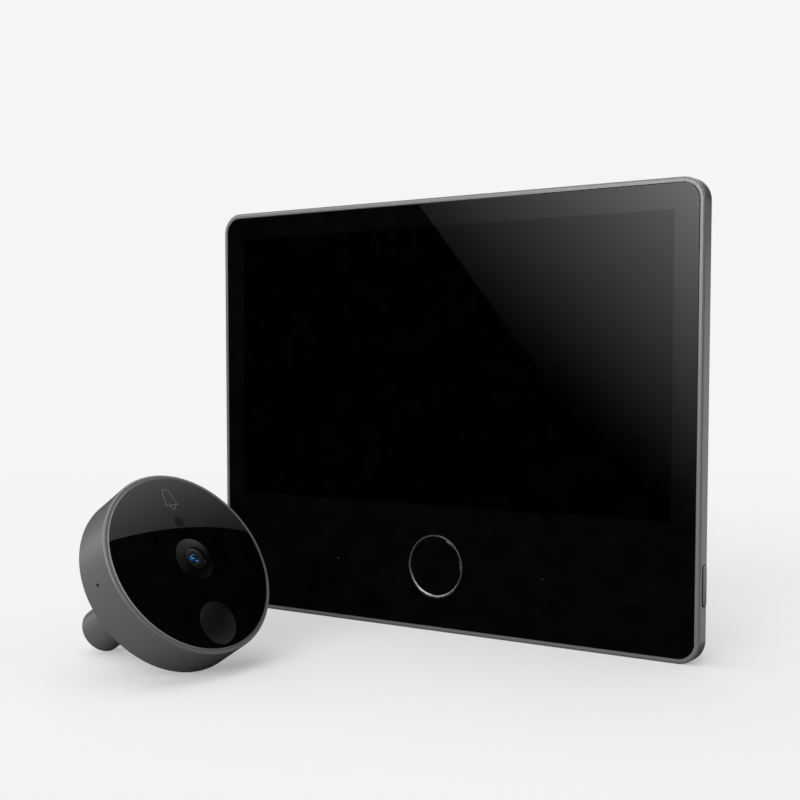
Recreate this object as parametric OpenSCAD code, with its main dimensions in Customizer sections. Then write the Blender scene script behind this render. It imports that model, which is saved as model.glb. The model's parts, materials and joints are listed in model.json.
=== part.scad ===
// Peephole door camera in two units: the indoor monitor, standing on its lower edge with its screen
// towards -Y, and the round outdoor camera, lying on its back edge and its stem in front of it.
// Millimetres, +Z up. The origin is the middle of the flat strip that the monitor stands on.
// On the monitor a depth is measured from the face of the glass towards +Y; on the camera it is
// measured from the edge of the camera's glass towards the door.

/* [Display] */
// Width of the picture area
active_w = 154.2; // [130:0.1:200]
// Height of the picture area
active_h = 85.9; // [75:0.1:120]
// Black border left and right of the picture area
side_bezel = 7.2; // [6:0.1:12]
// Black border above the picture area
top_bezel = 7.2; // [6:0.1:12]
// Black border below the picture area, where the home button sits
chin_h = 37.9; // [34:0.1:50]
// Thickness of the liquid crystal cell
cell_t = 0.9; // [0.7:0.1:1.5]
// Thickness of the backlight unit
backlight_t = 1.3; // [1:0.1:2.5]
// How far the panel runs on below the picture area
panel_foot = 5.2; // [4:0.1:8]
// Gap between the panel and the frame's ledge
panel_gap = 0.4; // [0.2:0.05:0.8]
// Gap between the panel and the chassis plate
panel_back_gap = 0.1; // [0.05:0.05:0.5]

/* [Frame and glass] */
// Thickness of the cover glass
glass_t = 1.1; // [0.8:0.1:2]
// Corner radius of the cover glass
glass_corner_r = 5; // [4.5:0.1:12]
// Gap between the glass and what surrounds it
glass_gap = 0.1; // [0.05:0.01:0.2]
// Thickness of the tape under the glass
tape_t = 0.15; // [0.1:0.05:0.3]
// Wall of the front frame, which shows as a thin lip round the glass
frame_wall = 1.4; // [1.2:0.1:2.5]
// Depth of the frame's side band
band_depth = 5.4; // [5.2:0.1:8]
// Rounding of the band's two outer edges
frame_round = 0.7; // [0.3:0.1:1]
// How far the lip lies behind the face of the glass
lip_set = 0.1; // [0:0.05:0.3]
// Width of the ledge that carries the glass
ledge_w = 2.2; // [1.8:0.1:3]
// Fit gap between the frame and the plates inside it
fit_gap = 0.2; // [0.1:0.05:0.4]

/* [Chassis] */
// Thickness of the chassis plate
chassis_t = 0.8; // [0.7:0.1:1.5]
// Radius of the chassis screws
frame_screw_r = 0.6; // [0.5:0.05:0.7]
// Radius of the chassis screws' flush heads
frame_screw_head_r = 0.95; // [0.8:0.05:1]
// Thickness of the chassis screws' flush heads
frame_screw_head_t = 0.45; // [0.3:0.05:0.5]
// Length of the chassis screws below the head
frame_screw_len = 1.7; // [1.2:0.1:2]
// Distance of the corner screws from the top and the bottom
frame_screw_corner = 11; // [9.5:0.5:12]
// Half the distance between the two screws of the top row and of the bottom row
frame_screw_row = 40; // [30:1:55]
// Radial gap round a screw's thread
thread_gap = 0.05; // [0.03:0.01:0.1]

/* [Home button] */
// Radius of the middle of the metal ring
ring_r = 9.4; // [7:0.1:11]
// Width of the metal ring
ring_w = 0.65; // [0.4:0.05:1]
// Thickness of the ring's flange behind the glass
ring_flange_t = 0.3; // [0.2:0.05:0.5]
// Width of the ring's flange behind the glass
ring_flange_w = 1.6; // [1.3:0.1:2.5]
// Radial gap between the button and its ring
button_gap = 0.08; // [0.05:0.01:0.1]
// Thickness of the button's retaining flange
button_flange_t = 0.6; // [0.4:0.1:0.8]
// How far the button's flange reaches past the ring's inner edge
button_flange_w = 1.2; // [0.8:0.1:1.2]
// Gap between a key's flange and its stop at rest
key_rest_gap = 0.05; // [0.03:0.01:0.1]
// Travel of the home button and of the side key
key_travel = 0.4; // [0.2:0.05:0.5]
// Room that stays behind a pressed key
key_stop_gap = 0.3; // [0.2:0.05:0.4]
// Side of the square home switch
switch_side = 6.2; // [5:0.1:7]
// Radius of the home switch's plunger
plunger_r = 1.6; // [1:0.1:2]
// Length of the plungers inside their switches
plunger_grip = 0.5; // [0.3:0.1:0.6]
// Running gap round a plunger
plunger_gap = 0.05; // [0.03:0.01:0.1]
// Gap between a part and the window it passes through
window_gap = 0.4; // [0.2:0.1:0.6]

/* [Side key] */
// Length of the side key
key_len = 11.6; // [8:0.1:16]
// Width of the side key across the band
key_w = 2.2; // [1.6:0.1:2.4]
// Depth of the side key's middle line
key_depth = 2.95; // [2.9:0.05:3]
// Height of the side key's middle above the floor
key_z = 22.1; // [20.5:0.1:26]
// How far the side key stands out of the band
key_out = 0.6; // [0.4:0.05:1]
// Gap round the side key in the frame's slot
key_gap = 0.1; // [0.06:0.01:0.15]
// Thickness of the side key's inner flange
key_flange_t = 0.7; // [0.5:0.1:0.9]
// How far the flange reaches past the key at each end
key_flange_reach = 0.7; // [0.4:0.1:1]
// Size of the side switch along the key
side_switch_len = 4.8; // [3.6:0.1:6]
// Size of the side switch behind the key
side_switch_deep = 3.2; // [2.8:0.1:4]
// Radius of the side switch's plunger
side_plunger_r = 0.6; // [0.4:0.05:0.7]

/* [Microphones] */
// Distance of each microphone hole from the middle
mic_x = 37.4; // [30:0.1:45]
// Radius of the microphone holes in the glass
mic_hole_r = 0.5; // [0.3:0.05:0.8]
// Radius of the microphone capsules
mic_r = 1.7; // [1.4:0.1:2.2]
// Height of the microphone capsules
mic_t = 1.1; // [0.9:0.1:1.4]

/* [Boards and battery] */
// Thickness of the monitor's two circuit boards
board_t = 1; // [0.8:0.1:1.2]
// Height of the standoffs under the main board
standoff_h = 2.2; // [2.1:0.1:3]
// Radius of the standoffs
standoff_r = 2.2; // [1.8:0.1:2.4]
// Radius of the board screws
board_screw_r = 0.8; // [0.6:0.05:0.9]
// Radius of the board screws' heads
board_screw_head_r = 1.6; // [1.3:0.1:1.8]
// Thickness of the board screws' heads
board_screw_head_t = 0.8; // [0.6:0.1:0.9]
// Distance of a board screw from the edges of its board
board_screw_edge = 3.6; // [2.6:0.1:5]
// Height of the main board
board_h = 74; // [60:1:80]
// How far the main board reaches left of the middle
board_left = 8; // [7.5:0.5:9]
// Width of the main board's tongue, which carries the charging port
tongue_w = 20; // [16:1:24]
// Middle of the charging port
port_x = 24; // [20:1:28]
// Half the width of the chin board
chin_board_half = 43; // [41:0.5:46]
// How far the chin board reaches above the home button
chin_board_rise = 8; // [6:0.5:10]
// Height of the processor's shield
shield_t = 2.2; // [1.5:0.1:2.6]
// Width of the processor's shield
shield_w = 26; // [20:1:28]
// Length of the processor's shield
shield_h = 34; // [26:1:40]
// Thickness of the battery pack
battery_t = 5.2; // [4:0.1:6]
// Height of the battery pack
battery_h = 80; // [60:1:85]
// Rounding of the battery pack's edges
battery_round = 2; // [1:0.1:2.4]
// Gap between neighbours inside the monitor
part_gap = 0.4; // [0.3:0.1:1]
// Free space above the boards and the battery
air_gap = 1.2; // [0.8:0.1:2]

/* [Sockets] */
// Width of the charging port
port_w = 9; // [8.5:0.1:10]
// Height of the charging port
port_h = 3.3; // [3.1:0.1:3.6]
// Length of the charging port
port_len = 7.4; // [6:0.1:9]
// Wall of the sockets' shells
socket_wall = 0.4; // [0.3:0.05:0.5]
// Width of the camera link's socket in the monitor
link_w = 12; // [9:0.5:13]
// Height of the camera link's socket in the monitor
link_h = 5; // [4:0.1:6]
// Depth that a plug goes into the link's socket
link_plug_depth = 3; // [2:0.1:3.5]
// Gap round a socket in the cover
socket_gap = 0.2; // [0.1:0.05:0.4]

/* [Rear cover] */
// How far the rear cover's box is set in from the frame
cover_inset = 6; // [4.5:0.1:8]
// Corner radius of the rear cover's box
cover_corner_r = 10; // [8:0.1:16]
// Rounding of the rear cover's back edge
cover_round = 3; // [2:0.1:3.5]
// Wall of the rear cover
cover_wall = 1.6; // [1.4:0.1:2]
// Distance of the cover screws from the inside of the box
cover_screw_inset = 8.2; // [7:0.1:10]
// Radius of the cover screws
cover_screw_r = 1; // [0.8:0.05:1.25]
// Radius of the cover screws' heads
cover_screw_head_r = 1.9; // [1.6:0.1:2.1]
// Thickness of the cover screws' heads
cover_screw_head_t = 1.3; // [1:0.1:1.6]
// Depth of the wells for the cover screws
cover_well = 3; // [2:0.1:4]
// Gap round the cover screws in their wells
well_gap = 0.2; // [0.1:0.05:0.3]
// Radius of the cover's screw bosses
boss_r = 3.6; // [3.2:0.1:4]
// Width of the loudspeaker
speaker_w = 40; // [30:1:44]
// Height of the loudspeaker
speaker_h = 18; // [14:1:20]
// Thickness of the loudspeaker
speaker_t = 7; // [5:0.1:8]
// Thickness of the gasket between the loudspeaker and the cover
gasket_t = 0.6; // [0.4:0.1:1]
// Width of the gasket's rim
gasket_w = 2; // [1.5:0.1:2.5]
// Width of a sound slot
slot_w = 1.4; // [1:0.1:1.8]
// Length of a sound slot
slot_len = 11; // [8:0.5:12]
// Distance between the sound slots
slot_pitch = 5; // [4:0.1:6]
// Width of the aerial strip
aerial_w = 8; // [6:0.5:9]
// Length of the aerial strip
aerial_len = 60; // [40:1:70]
// Thickness of the aerial strip
aerial_t = 0.2; // [0.15:0.05:0.4]

/* [Door plate] */
// Width of the recess for the door plate
recess_w = 100; // [92:1:110]
// Height of the recess for the door plate
recess_h = 72; // [66:1:76]
// Depth of the recess for the door plate
recess_depth = 4; // [3.5:0.1:6]
// Corner radius of the recess
recess_corner_r = 6; // [4:0.1:8]
// Gap round the door plate
plate_gap = 0.5; // [0.3:0.1:0.8]
// Thickness of the door plate
plate_t = 1.2; // [1:0.1:1.5]
// How far the monitor is lifted to come off the plate
lift = 6; // [5:0.1:7]
// Radius of the hole for the link cable in the middle of the plate
cable_hole_r = 8.5; // [7.5:0.1:10]
// Distance between the door screws, side to side
door_screw_dx = 60; // [50:1:64]
// Distance between the door screws, up and down
door_screw_dz = 44; // [40:1:50]
// Radius of the holes for the door screws
door_screw_hole_r = 2.1; // [1.7:0.1:2.6]
// Distance of the hooks from the plate's side edges
hook_edge = 7.5; // [6.5:0.1:9]
// Distance between the hooks, up and down
hook_dz = 32; // [28:1:34]
// Radius of a hook's post
hook_post_r = 1.6; // [1.2:0.1:2]
// Radius of a hook's head
hook_head_r = 3; // [2.5:0.1:3.4]
// Thickness of a hook's head
hook_head_t = 1.2; // [0.8:0.1:1.5]
// Gap round the hooks in the keyholes
hook_gap = 0.3; // [0.2:0.05:0.4]

/* [Outdoor camera] */
// Radius of the camera's housing
housing_r = 27; // [26:0.1:32]
// Depth of the housing from the edge of its glass to its back
housing_depth = 12.75; // [12.2:0.05:15]
// Width of the rim round the camera's glass
rim_w = 1.05; // [0.8:0.05:1.5]
// How far the rim lies behind the edge of the glass
rim_set = 0.3; // [0:0.05:0.6]
// Rounding of the housing's edges and of the stem's end
housing_round = 0.45; // [0.2:0.05:0.5]
// Thickness of the housing's back
housing_back_t = 1.7; // [1.5:0.1:2.5]
// Width of the ledge under the camera's glass
camera_ledge_w = 1; // [0.8:0.1:1.2]
// Radius of the stem
stem_r = 6.55; // [6.2:0.05:7.5]
// Length of the stem behind the housing
stem_len = 33.1; // [20:0.1:60]
// Radius of the cable way through the stem
stem_bore_r = 3.5; // [3:0.1:4]
// Radius of the stem's spigot in the housing's back
spigot_r = 5.2; // [4.8:0.1:5.8]
// Radial gap round the spigot
spigot_gap = 0.05; // [0.03:0.01:0.1]
// Inner radius of the weather pad on the back
pad_in_r = 9; // [8:0.1:11]
// Distance of the weather pad from the housing's side
pad_edge = 3; // [2:0.1:5]
// Thickness of the weather pad
pad_t = 1; // [0.9:0.1:1.4]
// Depth of the groove that holds the weather pad
pad_groove = 0.8; // [0.5:0.1:0.8]
// Gap at the sides of the weather pad
pad_gap = 0.1; // [0.05:0.05:0.2]
// Middle of the camera, measured to the right of the monitor's middle
camera_x = -28.6; // [-60:0.1:60]
// Middle of the camera's glass, measured from the face of the monitor's glass
camera_front = 78.8; // [60:0.1:150]
// Turn of the camera about the vertical, 0 facing the same way as the monitor
camera_turn = 85.1; // [0:0.1:180]

/* [Camera glass] */
// Thickness of the camera's glass at its edge
camera_glass_t = 1.5; // [1.2:0.1:2]
// Height of the middle of the glass above its edge
crown_h = 2; // [1.2:0.05:3]
// Thickness of the seal under the glass
seal_t = 0.2; // [0.15:0.05:0.4]
// Radius of the motion sensor's window
pir_window_r = 6; // [5:0.1:6.5]
// Width of the glass left between that window and the edge
pir_window_edge = 1.15; // [1:0.05:2]
// Gap round that window
pir_window_gap = 0.05; // [0.03:0.01:0.1]
// Radius of the touch pad behind the bell sign
touch_r = 4.4; // [3.5:0.1:5]
// Thickness of the touch pad
touch_t = 0.15; // [0.1:0.05:0.2]

/* [Camera insides] */
// Thickness of the carrier's ring
carrier_wall = 1.2; // [1:0.1:1.6]
// Gap between the carrier and the housing, the glass and the parts it holds
carrier_gap = 0.15; // [0.1:0.05:0.3]
// Thickness of the carrier's plate
carrier_plate_t = 1; // [0.8:0.1:1.2]
// Thickness of the camera's board
camera_board_t = 1; // [0.8:0.1:1.2]
// Height of the bosses under the camera's board
camera_boss_h = 0.75; // [0.7:0.05:1]
// Radius of the bosses under the camera's board
camera_boss_r = 2.2; // [1.8:0.1:3]
// Radius of the housing screws
housing_screw_r = 0.7; // [0.5:0.05:0.8]
// Radius of the housing screws' heads
housing_screw_head_r = 1.4; // [1.1:0.1:1.6]
// Thickness of the housing screws' heads
housing_screw_head_t = 0.7; // [0.5:0.1:0.9]
// Length of the housing screws below the head
housing_screw_len = 2.2; // [1.9:0.1:2.3]
// Distance of the housing screws' heads from the carrier's ring
housing_screw_inset = 1.6; // [1:0.1:3]
// Radius of the lens barrel
barrel_r = 5; // [4.5:0.1:5.4]
// Height of the lens holder on the board
holder_h = 4.1; // [3.9:0.1:4.4]
// Wall of the lens holder
holder_wall = 1.2; // [1:0.1:1.4]
// Height of the shelf in the lens holder above the board
shelf_h = 1.3; // [1.2:0.05:1.4]
// Thickness of the shelf in the lens holder
shelf_t = 0.2; // [0.15:0.05:0.3]
// Radius of the light way through that shelf
shelf_way_r = 2.4; // [2:0.1:2.5]
// Gap round the parts of the lens
lens_gap = 0.05; // [0.03:0.01:0.1]
// How far the front of the lens barrel lies behind the crown of the glass
lens_sink = 0.5; // [0.3:0.1:1.2]
// Radius of the front lens
front_lens_r = 2.1; // [1.9:0.1:2.6]
// Thickness of the front lens at its edge
front_lens_edge = 1; // [0.8:0.1:1.3]
// Radius of the front lens's curve
front_lens_curve = 4.5; // [4:0.5:12]
// Radius of the rear lens
rear_lens_r = 3.1; // [2.6:0.1:3.3]
// Thickness of the rear lens
rear_lens_t = 1.2; // [0.8:0.1:1.3]
// Radius of the light way through the lens barrel
light_way_r = 1.7; // [1.4:0.1:1.8]
// Radius of the infrared filter
filter_r = 3.8; // [3.2:0.1:4]
// Thickness of the infrared filter
filter_t = 0.25; // [0.2:0.05:0.3]
// Width of the image sensor
sensor_w = 7; // [5:0.1:7.2]
// Height of the image sensor
sensor_h = 6; // [4:0.1:6.2]
// Thickness of the image sensor
sensor_t = 0.7; // [0.5:0.05:0.75]
// Radius of the lens shroud
shroud_out_r = 6.1; // [5.6:0.1:6.7]
// Radius of the rounded front of the lens shroud
shroud_curve = 24; // [18:0.5:40]
// Radius of the opening in that front
shroud_throat_r = 3.2; // [2.9:0.1:3.6]
// Least wall of the lens shroud round the barrel
shroud_wall = 0.3; // [0.2:0.05:0.5]
// How far the shroud's edge lies behind the glass round it
shroud_set = 0.05; // [0:0.05:0.2]
// Height of the light sensor's window above the lens
light_up = 11.4; // [10.5:0.1:13]
// Radius of the light pipe
pipe_r = 1.5; // [1:0.1:1.8]
// Side of the light sensor
light_sensor_side = 2; // [1.5:0.1:2.4]
// Thickness of the light sensor
light_sensor_t = 0.8; // [0.5:0.1:1]
// Distance of the infrared lamps to the side of the lens
lamp_x = 11.5; // [10.5:0.1:13]
// Height of the infrared lamps above the lens
lamp_up = 5.5; // [3:0.1:6]
// Side of an infrared lamp
lamp_side = 3.5; // [2.8:0.1:3.8]
// Height of an infrared lamp's base
lamp_base_t = 2; // [1.2:0.1:2.5]
// Radius of an infrared lamp's dome
lamp_dome_r = 1.2; // [0.8:0.1:1.3]
// Radius of the motion sensor's can
pir_can_r = 4.6; // [4:0.1:4.8]
// Height of the motion sensor's can
pir_can_h = 4.7; // [4:0.1:5.2]
// Width of the flange at the can's foot
pir_flange_w = 0.4; // [0.3:0.1:0.6]
// Thickness of the flange at the can's foot
pir_flange_t = 0.6; // [0.4:0.1:0.8]
// Radius of the camera's loudspeaker
chime_r = 6; // [5:0.1:6.4]
// Thickness of the camera's loudspeaker
chime_t = 3.5; // [2.5:0.1:3.8]
// Depth of the microphone hole in the housing's side
side_hole_depth = 6.7; // [6.4:0.1:7]
// Radius of the microphone hole and the sound holes in the housing's side
side_hole_r = 0.5; // [0.3:0.05:0.7]
// Distance between the sound holes under the camera
sound_pitch = 3; // [2.4:0.1:3.2]
// Radius of the camera's microphone
side_mic_r = 2; // [1.5:0.1:2.4]
// Length of the camera's microphone
side_mic_len = 1.6; // [1.2:0.1:2]
// Width of the camera's link socket
camera_link_w = 5; // [4:0.1:5.6]
// Height of the camera's link socket
camera_link_h = 3.4; // [3:0.1:3.8]
// Gap between the camera's link socket and the housing's back
camera_link_gap = 0.1; // [0.05:0.05:0.2]

/* [Hidden] */
$fn = 64;

// How far a cut runs past the surface that it opens
cut = 1;
// Steps of the large shallow curve of the camera's glass
curve_fn = 1440;
lip_w = frame_wall + glass_gap;
monitor_w = active_w + 2 * (side_bezel + lip_w);
monitor_h = active_h + top_bezel + chin_h + 2 * lip_w;
corner_r = glass_corner_r + lip_w;
foot_depth = (lip_set + band_depth) / 2;
ledge_depth = glass_t + tape_t;
panel_depth = glass_t + cell_t + backlight_t;
chassis_depth = panel_depth + panel_back_gap;
chassis_back = chassis_depth + chassis_t;
panel_in = frame_wall + ledge_w + panel_gap;
panel_low = lip_w + chin_h - panel_foot;
panel_high = monitor_h - panel_in;

ledge_mid = frame_wall + fit_gap + ledge_w / 2;
frame_screw_places = concat(
    [for (s = [-1, 1], z = [frame_screw_corner, monitor_h / 2, monitor_h - frame_screw_corner])
        [s * (monitor_w / 2 - ledge_mid), z]],
    [for (s = [-1, 1], z = [ledge_mid, monitor_h - ledge_mid]) [s * frame_screw_row, z]]
);

ring_in = ring_r - ring_w / 2;
ring_out = ring_r + ring_w / 2;
home_z = lip_w + chin_h / 2;
button_r = ring_in - button_gap;
button_seat = glass_t + ring_flange_t + key_rest_gap;
button_back = button_seat + button_flange_t;
switch_front = button_back + key_travel + key_stop_gap;
plunger_end = switch_front + plunger_grip;
plunger_well = plunger_end + key_travel + key_stop_gap;

wall_in_x = monitor_w / 2 - frame_wall;
key_flange_x = wall_in_x - key_rest_gap - key_flange_t;
key_pocket = key_len / 2 + key_flange_reach + window_gap;
side_plunger_depth = (ledge_depth + chassis_depth) / 2;
side_plunger_end = key_flange_x - key_travel - key_stop_gap - plunger_grip;
side_switch_x = side_plunger_end + plunger_grip;
side_plunger_well = side_plunger_end - key_travel - key_stop_gap;

mic_front = chassis_back - mic_t;

board_front = chassis_back + standoff_h;
board_back = board_front + board_t;
shield_back = board_back + shield_t;
contents_back = max(shield_back, chassis_back + battery_t);
hook_front = contents_back + air_gap;
floor_in = hook_front + hook_head_t + hook_gap;
floor_out = floor_in + cover_wall;
monitor_depth = floor_out + recess_depth;
cover_in = monitor_depth - cover_wall;

cavity_x = monitor_w / 2 - cover_inset - cover_wall;
cavity_low = cover_inset + cover_wall;
cavity_high = monitor_h - cover_inset - cover_wall;
cover_screw_x = cavity_x - cover_screw_inset;
cover_screw_places = [
    for (s = [-1, 1], z = [cavity_low + cover_screw_inset, cavity_high - cover_screw_inset])
        [s * cover_screw_x, z]
];
contents_x = cover_screw_x - boss_r - part_gap;
chin_board_low = cavity_low + part_gap;
chin_board_high = home_z + chin_board_rise;
chin_screw_places = [
    for (s = [-1, 1]) [s * (switch_side + board_screw_edge), chin_board_low + board_screw_edge]
];

speaker_x = -contents_x + speaker_w / 2;
speaker_low = cavity_low + 2 * part_gap;
speaker_back = cover_in - gasket_t;
recess_low = speaker_low + speaker_h + cover_wall + part_gap;
recess_mid = recess_low + recess_h / 2;
plate_w = recess_w - 2 * plate_gap;
plate_h = recess_h - lift - 2 * plate_gap;
plate_z = recess_low + recess_h - plate_gap - plate_h / 2;
hook_places = [
    for (s = [-1, 1], t = [-1, 1]) [s * (plate_w / 2 - hook_edge), plate_z + t * hook_dz / 2]
];
door_screw_places = [
    for (s = [-1, 1], t = [-1, 1]) [s * door_screw_dx / 2, plate_z + t * door_screw_dz / 2]
];

board_low = plate_z - board_h / 2;
battery_low = chin_board_high + part_gap;
board_screw_places = [
    for (x = [board_screw_edge - board_left, contents_x - board_screw_edge], t = [-1, 1])
        [x, plate_z + t * (board_h / 2 - board_screw_edge)]
];
link_back = floor_out - part_gap;
port_mid = board_back + port_h / 2;
port_low = cover_inset + part_gap;

glass_seat_r = housing_r - rim_w;
camera_glass_r = glass_seat_r - glass_gap;
camera_ledge = camera_glass_t + seal_t;
housing_in_r = glass_seat_r - camera_ledge_w;
housing_floor = housing_depth - housing_back_t;
carrier_out_r = housing_in_r - carrier_gap;
carrier_in_r = carrier_out_r - carrier_wall;
carrier_front = camera_glass_t + carrier_gap;
camera_board_back = housing_floor - camera_boss_h;
camera_board_front = camera_board_back - camera_board_t;
holder_front = camera_board_front - holder_h;
barrel_front = lens_sink - crown_h;
barrel_back = camera_board_front - shelf_h;
front_lens_seat = barrel_front + front_lens_edge;
rear_lens_front = barrel_back - rear_lens_t;
lens_cavity_r = norm([sensor_w, sensor_h]) / 2 + carrier_gap;
shroud_r = max(shroud_out_r, barrel_r + lens_gap + shroud_wall);
shroud_rise = shroud_curve - sqrt(shroud_curve ^ 2 - shroud_r ^ 2);
lens_hole_r = shroud_r + lens_gap;
carrier_plate = camera_board_front - chime_t - carrier_gap - carrier_plate_t;
pir_window_up = -(camera_glass_r - pir_window_edge - pir_window_r);
pir_up = -(carrier_in_r - pir_can_r - pir_flange_w - window_gap);
touch_up = carrier_in_r - touch_r - carrier_gap;
housing_screw_at = carrier_in_r - housing_screw_head_r - housing_screw_inset;
housing_screw_turns = [45, 135, 225];
chime_at = carrier_in_r - chime_r - window_gap;
chime_turn = -40;
side_mic_face = sqrt(carrier_out_r * carrier_out_r - side_mic_r * side_mic_r);
sound_depth = (camera_ledge + housing_floor) / 2;
stem_end = housing_depth + stem_len;

// The crown is a part of a ball that comes down to the edge of the glass
crown_r = (camera_glass_r ^ 2 + crown_h ^ 2) / (2 * crown_h);
shroud_front = crown_r - sqrt(crown_r ^ 2 - lens_hole_r ^ 2) - crown_h + shroud_set;

// Lying down, the camera leans until its back edge and the end of its stem both touch the floor
camera_lean = atan((housing_r - stem_r) / stem_len);
camera_z = (housing_depth - housing_round) * sin(camera_lean)
    + (housing_r - housing_round) * cos(camera_lean) + housing_round;

shell_grey = [0.4, 0.4, 0.41];
glass_black = [0.02, 0.02, 0.022];
board_green = [0.08, 0.27, 0.16];
part_black = [0.08, 0.08, 0.085];
steel = [0.62, 0.62, 0.64];

// Shared shapes

// A plate of the monitor between two depths, drawn as an outline in x and height
module slab(depth, thick) {
    translate([0, depth + thick - foot_depth, 0])
        rotate([90, 0, 0])
            linear_extrude(thick)
                children();
}

// A plate that stands square to x, drawn as an outline in depth and height
module side_slab(x, thick) {
    translate([x, -foot_depth, 0])
        rotate([90, 0, 90])
            linear_extrude(thick)
                children();
}

module rounded_rect(w, h, r) {
    square([w - 2 * r, h], center = true);
    square([w, h - 2 * r], center = true);
    for (s = [-1, 1], t = [-1, 1])
        translate([s * (w / 2 - r), t * (h / 2 - r)])
            circle(r);
}

// A box outline from its left, low, right and high edges
module span(left, low, right, high) {
    translate([left, low])
        square([right - left, high - low]);
}

module ring(out_r, in_r) {
    difference() {
        circle(out_r);
        circle(in_r);
    }
}

// A slot with round ends that stands upright
module pill(wide, long) {
    square([wide, long - wide], center = true);
    for (s = [-1, 1])
        translate([0, s * (long - wide) / 2])
            circle(wide / 2);
}

// The same shape at each place of a list
module at_each(places) {
    for (p = places)
        translate(p)
            children();
}

// The monitor's outline, drawn in by a distance
module outline(inset) {
    translate([0, monitor_h / 2])
        rounded_rect(monitor_w - 2 * inset, monitor_h - 2 * inset, corner_r - inset);
}

// The outline of the rear cover's box, drawn in by a distance
module box_outline(inset) {
    in = cover_inset + inset;
    translate([0, monitor_h / 2])
        rounded_rect(monitor_w - 2 * in, monitor_h - 2 * in, cover_corner_r - inset);
}

// A profile carried round a rounded rectangle: its x is measured outwards from the outline
module swept(w, h, r) {
    for (i = [0:3]) {
        across = i % 2 == 0 ? w : h;
        along = i % 2 == 0 ? h : w;
        rotate(90 * i)
            translate([across / 2 - r, 0, 0]) {
                rotate([90, 0, 0])
                    linear_extrude(along - 2 * r, center = true)
                        translate([r, 0])
                            children();
                translate([0, along / 2 - r, 0])
                    rotate_extrude(angle = 90)
                        translate([r, 0])
                            children();
            }
    }
}

// Screws with their heads towards the back, seated at a depth, each with a six-sided socket
module back_screws(places, seat, head_r, head_t, shaft_r, length) {
    difference() {
        slab(seat, head_t)
            at_each(places)
                circle(head_r);
        slab(seat + head_t / 2, head_t)
            at_each(places)
                circle(head_r / 2, $fn = 6);
    }
    slab(seat - length, length)
        at_each(places)
            circle(shaft_r);
}

// Monitor: frame, glass and display

module frame_profile() {
    front = band_depth - lip_set;
    translate([-frame_wall, 0])
        square([frame_wall - frame_round, front]);
    translate([-frame_wall, frame_round])
        square([frame_wall, front - 2 * frame_round]);
    for (y = [frame_round, front - frame_round])
        translate([-frame_round, y])
            circle(frame_round);
    translate([-frame_wall - ledge_w, band_depth - chassis_depth])
        square([ledge_w + frame_wall / 2, chassis_depth - ledge_depth]);
}

module front_frame() {
    color(shell_grey)
        difference() {
            translate([0, band_depth - foot_depth, monitor_h / 2])
                rotate([90, 0, 0])
                    swept(monitor_w, monitor_h, corner_r)
                        frame_profile();
            side_slab(wall_in_x - cut, frame_wall + 2 * cut)
                translate([key_depth, key_z])
                    pill(key_w + 2 * key_gap, key_len + 2 * key_gap);
            slab(ledge_depth - cut, chassis_depth - ledge_depth + 2 * cut)
                span(wall_in_x - ledge_w - cut, key_z - key_pocket, wall_in_x, key_z + key_pocket);
            slab(chassis_back - frame_screw_head_t - frame_screw_len - thread_gap, frame_screw_len + cut)
                at_each(frame_screw_places)
                    circle(frame_screw_r + thread_gap);
        }
}

module cover_glass() {
    color(glass_black)
        slab(0, glass_t)
            difference() {
                outline(lip_w);
                translate([0, home_z])
                    circle(ring_out + glass_gap);
                for (s = [-1, 1])
                    translate([s * mic_x, home_z])
                        circle(mic_hole_r);
            }
}

module glass_tape() {
    color(part_black)
        slab(glass_t, tape_t)
            difference() {
                outline(lip_w);
                outline(frame_wall + ledge_w);
            }
}

module panel_outline() {
    translate([0, (panel_low + panel_high) / 2])
        rounded_rect(monitor_w - 2 * panel_in, panel_high - panel_low, corner_r - panel_in);
}

module display_cell() {
    color([0.05, 0.05, 0.06])
        slab(glass_t, cell_t)
            panel_outline();
}

module backlight_unit() {
    color([0.85, 0.85, 0.86])
        slab(glass_t + cell_t, backlight_t)
            panel_outline();
}

// Monitor: chassis

module chassis_outline() {
    difference() {
        outline(frame_wall + fit_gap);
        translate([0, home_z])
            square(switch_side + 2 * window_gap, center = true);
        for (s = [-1, 1])
            translate([s * mic_x, home_z])
                circle(mic_r + window_gap);
        span(key_flange_x - key_travel - window_gap, key_z - key_pocket, wall_in_x, key_z + key_pocket);
        at_each(cover_screw_places)
            circle(cover_screw_r + thread_gap);
        at_each(concat(board_screw_places, chin_screw_places))
            circle(board_screw_r + thread_gap);
        at_each(frame_screw_places)
            circle(frame_screw_r + 2 * thread_gap);
    }
}

module chassis_plate() {
    color(steel)
        difference() {
            union() {
                slab(chassis_depth, chassis_t)
                    chassis_outline();
                slab(chassis_back, standoff_h)
                    at_each(board_screw_places)
                        ring(standoff_r, board_screw_r + thread_gap);
            }
            slab(chassis_back - frame_screw_head_t, frame_screw_head_t + cut)
                at_each(frame_screw_places)
                    circle(frame_screw_head_r + thread_gap);
        }
}

module chassis_screws() {
    color(steel)
        back_screws(frame_screw_places, chassis_back - frame_screw_head_t, frame_screw_head_r,
            frame_screw_head_t, frame_screw_r, frame_screw_len);
}

// Monitor: home button and side key

module home_ring() {
    color([0.75, 0.75, 0.77])
        translate([0, 0, home_z]) {
            slab(0, glass_t)
                ring(ring_out, ring_in);
            slab(glass_t, ring_flange_t)
                ring(ring_out + ring_flange_w, ring_in);
        }
}

module home_button() {
    color(glass_black)
        translate([0, 0, home_z]) {
            slab(0, button_back)
                circle(button_r);
            slab(button_seat, button_flange_t)
                circle(ring_in + button_flange_w);
        }
}

module home_plunger() {
    color([0.7, 0.12, 0.1])
        translate([0, 0, home_z])
            slab(button_back, plunger_end - button_back)
                circle(plunger_r);
}

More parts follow.
